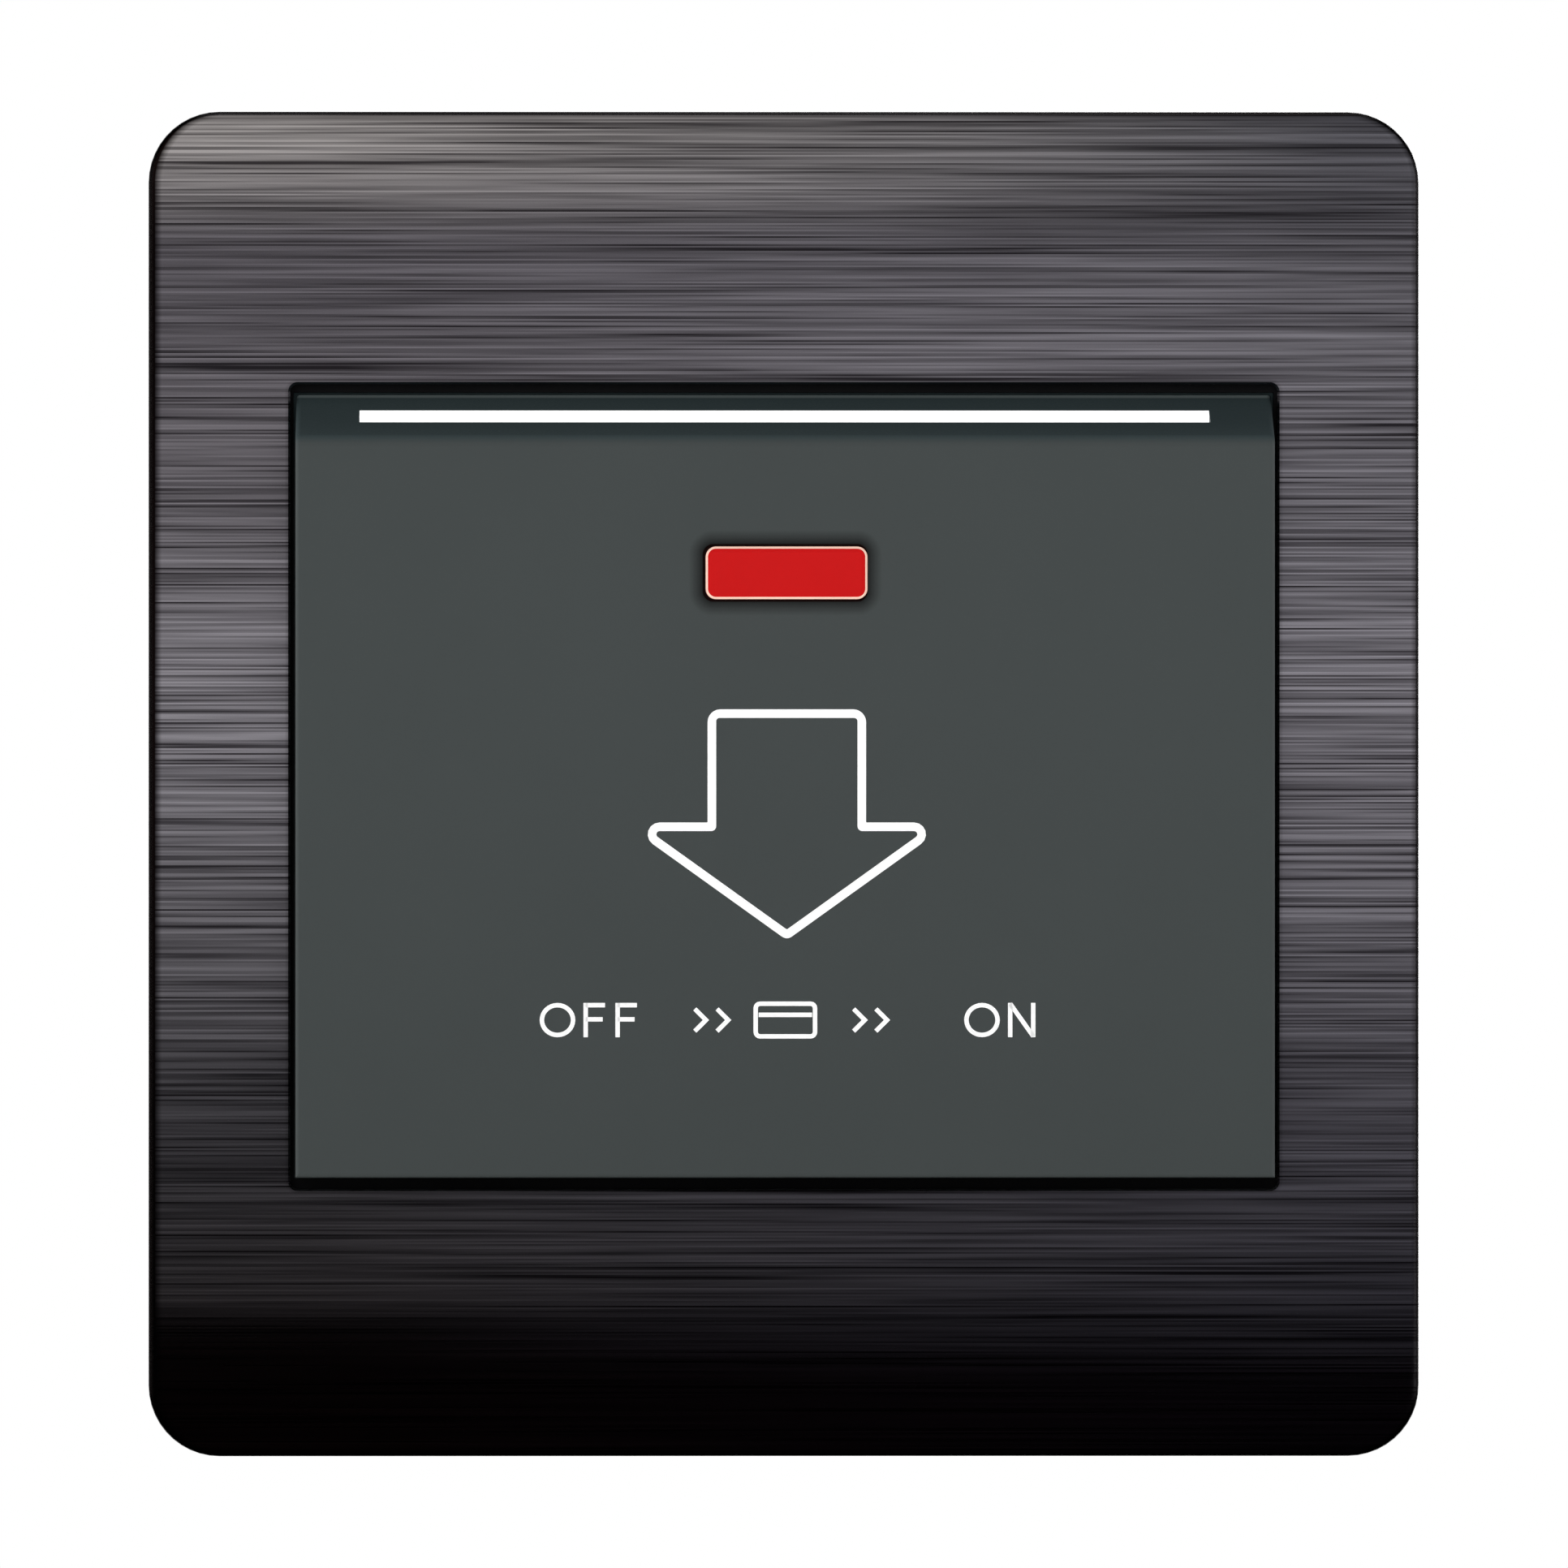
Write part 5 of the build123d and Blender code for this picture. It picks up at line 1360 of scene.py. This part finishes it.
@dataclass
class RearBox(SubAssembly):
    """The housing behind the wall line, its terminals and every screw."""

    nodes: tuple[str, ...] = ("rear_housing", "terminal_block", "terminal_clamps")
    wall: ScrewKind = ScrewKind("wall_pan_screws", 3.8, 2.6, 1.1, 2.0, 27.6, 0.7, 0.28, 4.4, 1.0, 1.2)
    stack: ScrewKind = ScrewKind("stack_pan_screws", 2.7, 1.9, 0.7, 1.45, 34.05, 1.1, 0.2, 3.4, 0.8, 1.1)
    clamp: ScrewKind = ScrewKind("clamp_screws", 2.6, 2.0, 0.4, 1.75, 3.9, 0.6, 0.18, 4.0, 0.9, 1.1)
    small: ScrewKind = ScrewKind("lamp_board_pan_screws", 1.7, 1.1, 0.5, 0.9, 4.45, 0.5, 0.12, 2.2, 0.5, 0.7)
    numeral_size: float = 2.97
    numeral_rise: float = 0.15
    numeral_sunk: float = 0.02
    numeral_z: float = -17.6
    block_face: float = 27.0
    terminal_pitch: float = 9.0

    def numerals(self) -> None:
        """Raised numerals 1 to 4 over the terminals, moulded with the block."""
        work = bmesh.new()
        y = self.block_face + self.numeral_rise / 2 - self.numeral_sunk
        for i in range(4):
            name = f"numeral_{i + 1}"
            curve = bpy.data.curves.new(name, "FONT")
            curve.body = str(i + 1)
            curve.size = self.numeral_size * MM
            curve.align_x = "CENTER"
            curve.align_y = "CENTER"
            curve.extrude = self.numeral_rise / 2 * MM
            holder = bpy.data.objects.new(name, curve)
            bpy.context.scene.collection.objects.link(holder)
            graph = bpy.context.evaluated_depsgraph_get()
            mesh = bpy.data.meshes.new_from_object(holder.evaluated_get(graph))
            bpy.data.objects.remove(holder)
            x = (1.5 - i) * self.terminal_pitch
            turn = Matrix.Translation((x * MM, y * MM, self.numeral_z * MM))
            turn = turn @ Matrix.Rotation(math.pi, 4, "Z") @ Matrix.Rotation(math.pi / 2, 4, "X")
            mesh.transform(turn)
            work.from_mesh(mesh)
            bpy.data.meshes.remove(mesh)
        piece = new_piece("terminal_numerals", work, [Finishes.terminal_grey.value])
        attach(piece, "base")

    def build(self) -> None:
        """Dresses the box, sets the screws and moulds the numerals."""
        super().build()
        ScrewSet(self.wall, "wall_screws", 2, from_back=False).build()
        ScrewSet(self.stack, "stack_screws", 2).build()
        ScrewSet(self.clamp, "terminal_screws", 4).build()
        ScrewSet(self.small, "led_board_screws", 2).build()
        self.numerals()


@dataclass(frozen=True)
class Lamp:
    """A square soft lamp that faces the object: its place and side in metres, its power in watts."""

    name: str
    place: Spot
    size: float
    watts: float
    gloss: bool = True

    def build(self) -> None:
        """Hangs the lamp, unseen by the camera."""
        data = bpy.data.lights.new(self.name, "AREA")
        data.shape = "SQUARE"
        data.size = self.size
        data.energy = self.watts
        lamp = bpy.data.objects.new(self.name, data)
        lamp.location = self.place
        lamp.rotation_euler = Vector(self.place).to_track_quat("Z", "Y").to_euler()
        lamp.visible_camera = False
        lamp.visible_glossy = self.gloss
        bpy.context.scene.collection.objects.link(lamp)


@dataclass
class Studio:
    """Camera, lamps, floor, the graded card that the plate mirrors, and the flags beside it."""

    distance: float = 1.54
    view_width: float = 106.1
    sensor: float = 36.0
    aside: float = -20.0
    face: float = -9.0
    floor: float = -75.0
    floor_radius: float = 0.6
    fill: float = 0.16
    lamps: tuple[Lamp, ...] = (
        Lamp("front_lamp", (-0.2, -1.45, 0.02), 0.9, 18.5, False),
        Lamp("back_lamp", (0.45, 1.35, 0.25), 0.8, 8.0),
        Lamp("left_lamp", (-1.3, 0.3, 0.05), 0.7, 11.0),
        Lamp("right_lamp", (1.3, 0.3, 0.05), 0.7, 8.0),
        Lamp("top_lamp", (0.1, 0.6, 1.3), 0.7, 9.0),
    )
    card_y: float = -21.0
    card_reach: float = 160.0
    card_strength: float = 5.0
    card_low: float = -50.0
    card_high: float = 50.0
    card_left: float = -30.0
    card_right: float = 38.0
    left_grades: tuple[tuple[float, str], ...] = (
        (-36.4, "#020101"),
        (-34.9, "#1D1C1C"),
        (-22.0, "#29292A"),
        (4.0, "#616162"),
        (22.0, "#4E4D4E"),
        (37.5, "#414042"),
        (41.0, "#686764"),
        (45.0, "#72716C"),
    )
    right_grades: tuple[tuple[float, str], ...] = (
        (-40.0, "#030203"),
        (-34.5, "#1F1F22"),
        (-22.0, "#343437"),
        (4.0, "#5E5E60"),
        (22.0, "#535355"),
        (34.5, "#505052"),
        (37.5, "#3A3A3C"),
        (45.0, "#414244"),
    )
    flag_out: float = 0.3
    flag_near: float = -0.3
    flag_far: float = 0.45

    def camera(self) -> None:
        """Square-on camera with a long lens, as far back as the pocket's size in the picture says."""
        data = bpy.data.cameras.new("camera")
        data.sensor_width = self.sensor
        data.lens = self.sensor * self.distance / (self.view_width * MM)
        data.clip_start = 0.05
        data.clip_end = 20.0
        eye = bpy.data.objects.new("camera", data)
        eye.location = (self.aside * MM, self.face * MM - self.distance, 0.0)
        eye.rotation_euler = (math.pi / 2, 0.0, math.atan2(self.aside * MM, self.distance))
        bpy.context.scene.collection.objects.link(eye)
        bpy.context.scene.camera = eye

    def world(self) -> None:
        """Soft even surroundings: white to the eye and to gloss, a plain fill to everything else."""
        world = bpy.data.worlds.new("studio")
        bpy.context.scene.world = world
        world.use_nodes = True
        tree = world.node_tree
        tree.nodes.clear()
        path = add_node(tree, "ShaderNodeLightPath").outputs
        seen = sums(tree, "MAXIMUM", path["Is Camera Ray"], path["Is Glossy Ray"])
        seen = sums(tree, "MAXIMUM", seen, path["Is Transmission Ray"])
        shades = []
        for strength in (self.fill, 1.0):
            feeds = {"Color": "#FFFFFF", "Strength": strength}
            shades.append(add_node(tree, "ShaderNodeBackground", feeds).outputs[0])
        mix = add_node(tree, "ShaderNodeMixShader", {0: seen, 1: shades[0], 2: shades[1]})
        add_node(tree, "ShaderNodeOutputWorld", {"Surface": mix.outputs[0]})
        world.cycles.sampling_method = "NONE"

    def sheet(self, name: str, corners: Sequence[Spot], material: bpy.types.Material) -> bpy.types.Object:
        """Adds a flat staged sheet.

        Args:
            name: its name.
            corners: its corners in metres.
            material: its finish.

        Returns:
            The sheet.
        """
        mesh = bpy.data.meshes.new(name)
        mesh.from_pydata(list(corners), [], [tuple(range(len(corners)))])
        mesh.materials.append(material)
        made = bpy.data.objects.new(name, mesh)
        bpy.context.scene.collection.objects.link(made)
        return made

    def only_gloss(self, sheet: bpy.types.Object) -> None:
        """Lets nothing but glossy reflections see a sheet."""
        sheet.visible_camera = False
        sheet.visible_diffuse = False
        sheet.visible_shadow = False
        sheet.visible_transmission = False
        sheet.visible_volume_scatter = False

    def graded_card(self) -> None:
        """Card in front of the switch whose brightness falls from top to bottom, as the plate shows it."""
        material, tree = bare_material("graded_card")
        material.cycles.emission_sampling = "NONE"
        place = add_node(tree, "ShaderNodeSeparateXYZ", {0: body_point(tree)}).outputs
        share = between(tree, place["Z"], 0.0, 1.0, self.card_low, self.card_high)
        sides = []
        for grades in (self.left_grades, self.right_grades):
            ramp = add_node(tree, "ShaderNodeValToRGB", {"Fac": share})
            stops = ramp.color_ramp.elements
            while len(stops) < len(grades):
                stops.new(0.5)
            for stop, (z, code) in zip(stops, grades):
                stop.position = (z - self.card_low) / (self.card_high - self.card_low)
                stop.color = linear(code)
            sides.append(ramp.outputs["Color"])
        across = between(tree, place["X"], 0.0, 1.0, self.card_left, self.card_right)
        colour = blend_colours(tree, across, *sides)
        glow = add_node(tree, "ShaderNodeEmission", {"Color": colour, "Strength": self.card_strength})
        add_node(tree, "ShaderNodeOutputMaterial", {"Surface": glow.outputs[0]})
        y, reach = self.card_y * MM, self.card_reach * MM
        corners = [(x, y, z) for x, z in rectangle(0.0, 0.0, reach, reach)]
        self.only_gloss(self.sheet("graded_card", corners, material))

    def flags(self) -> None:
        """Black flags beside, above and below, which keep the plate's rolled edges dark."""
        material, tree = bare_material("black_flag")
        dull = add_node(tree, "ShaderNodeBsdfDiffuse", {"Color": "#0A0808"})
        add_node(tree, "ShaderNodeOutputMaterial", {"Surface": dull.outputs[0]})
        near, far, out = self.flag_near, self.flag_far, self.flag_out
        for name, a, b in (
            ("flag_left", (-out, -out), (-out, out)),
            ("flag_right", (out, -out), (out, out)),
            ("flag_top", (-out, out), (out, out)),
            ("flag_bottom", (-out, -out), (out, -out)),
        ):
            corners = [(a[0], near, a[1]), (b[0], near, b[1]), (b[0], far, b[1]), (a[0], far, a[1])]
            self.only_gloss(self.sheet(name, corners, material))

    def ground(self) -> None:
        """Pale floor below the switch, clear from underneath so that it hides nothing."""
        material, tree = bare_material("pale_floor")
        colour = clouded(tree, body_point(tree), 40.0, 2.0, "#ECECEA", "#F0F0EE")
        pale = add_node(tree, "ShaderNodeBsdfDiffuse", {"Color": colour})
        clear = add_node(tree, "ShaderNodeBsdfTransparent")
        side = add_node(tree, "ShaderNodeNewGeometry").outputs["Backfacing"]
        mix = add_node(tree, "ShaderNodeMixShader", {0: side, 1: pale.outputs[0], 2: clear.outputs[0]})
        add_node(tree, "ShaderNodeOutputMaterial", {"Surface": mix.outputs[0]})
        ring = oval((0.0, 0.0), (self.floor_radius, self.floor_radius), 64)
        floor = self.sheet("pale_floor", [(x, y, self.floor * MM) for x, y in ring], material)
        floor.visible_glossy = False

    def build(self) -> None:
        """Sets up the whole studio."""
        self.camera()
        self.world()
        for lamp in self.lamps:
            lamp.build()
        self.graded_card()
        self.flags()
        self.ground()
        LOG.info("studio: camera at %.2f m", self.distance)


def main() -> None:
    """Builds the studio, then the switch from front to back."""
    logging.basicConfig(level=logging.INFO, format="%(name)s: %(message)s")
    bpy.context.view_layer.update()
    parts = (Studio, FrontFrame, CardPocket, IndicatorLens, PrintedMarks, CardSensor, RelayWorks, RearBox)
    for part in parts:
        part().build()
    bpy.context.scene.view_settings.view_transform = "Standard"


if __name__ == "__main__":
    main()
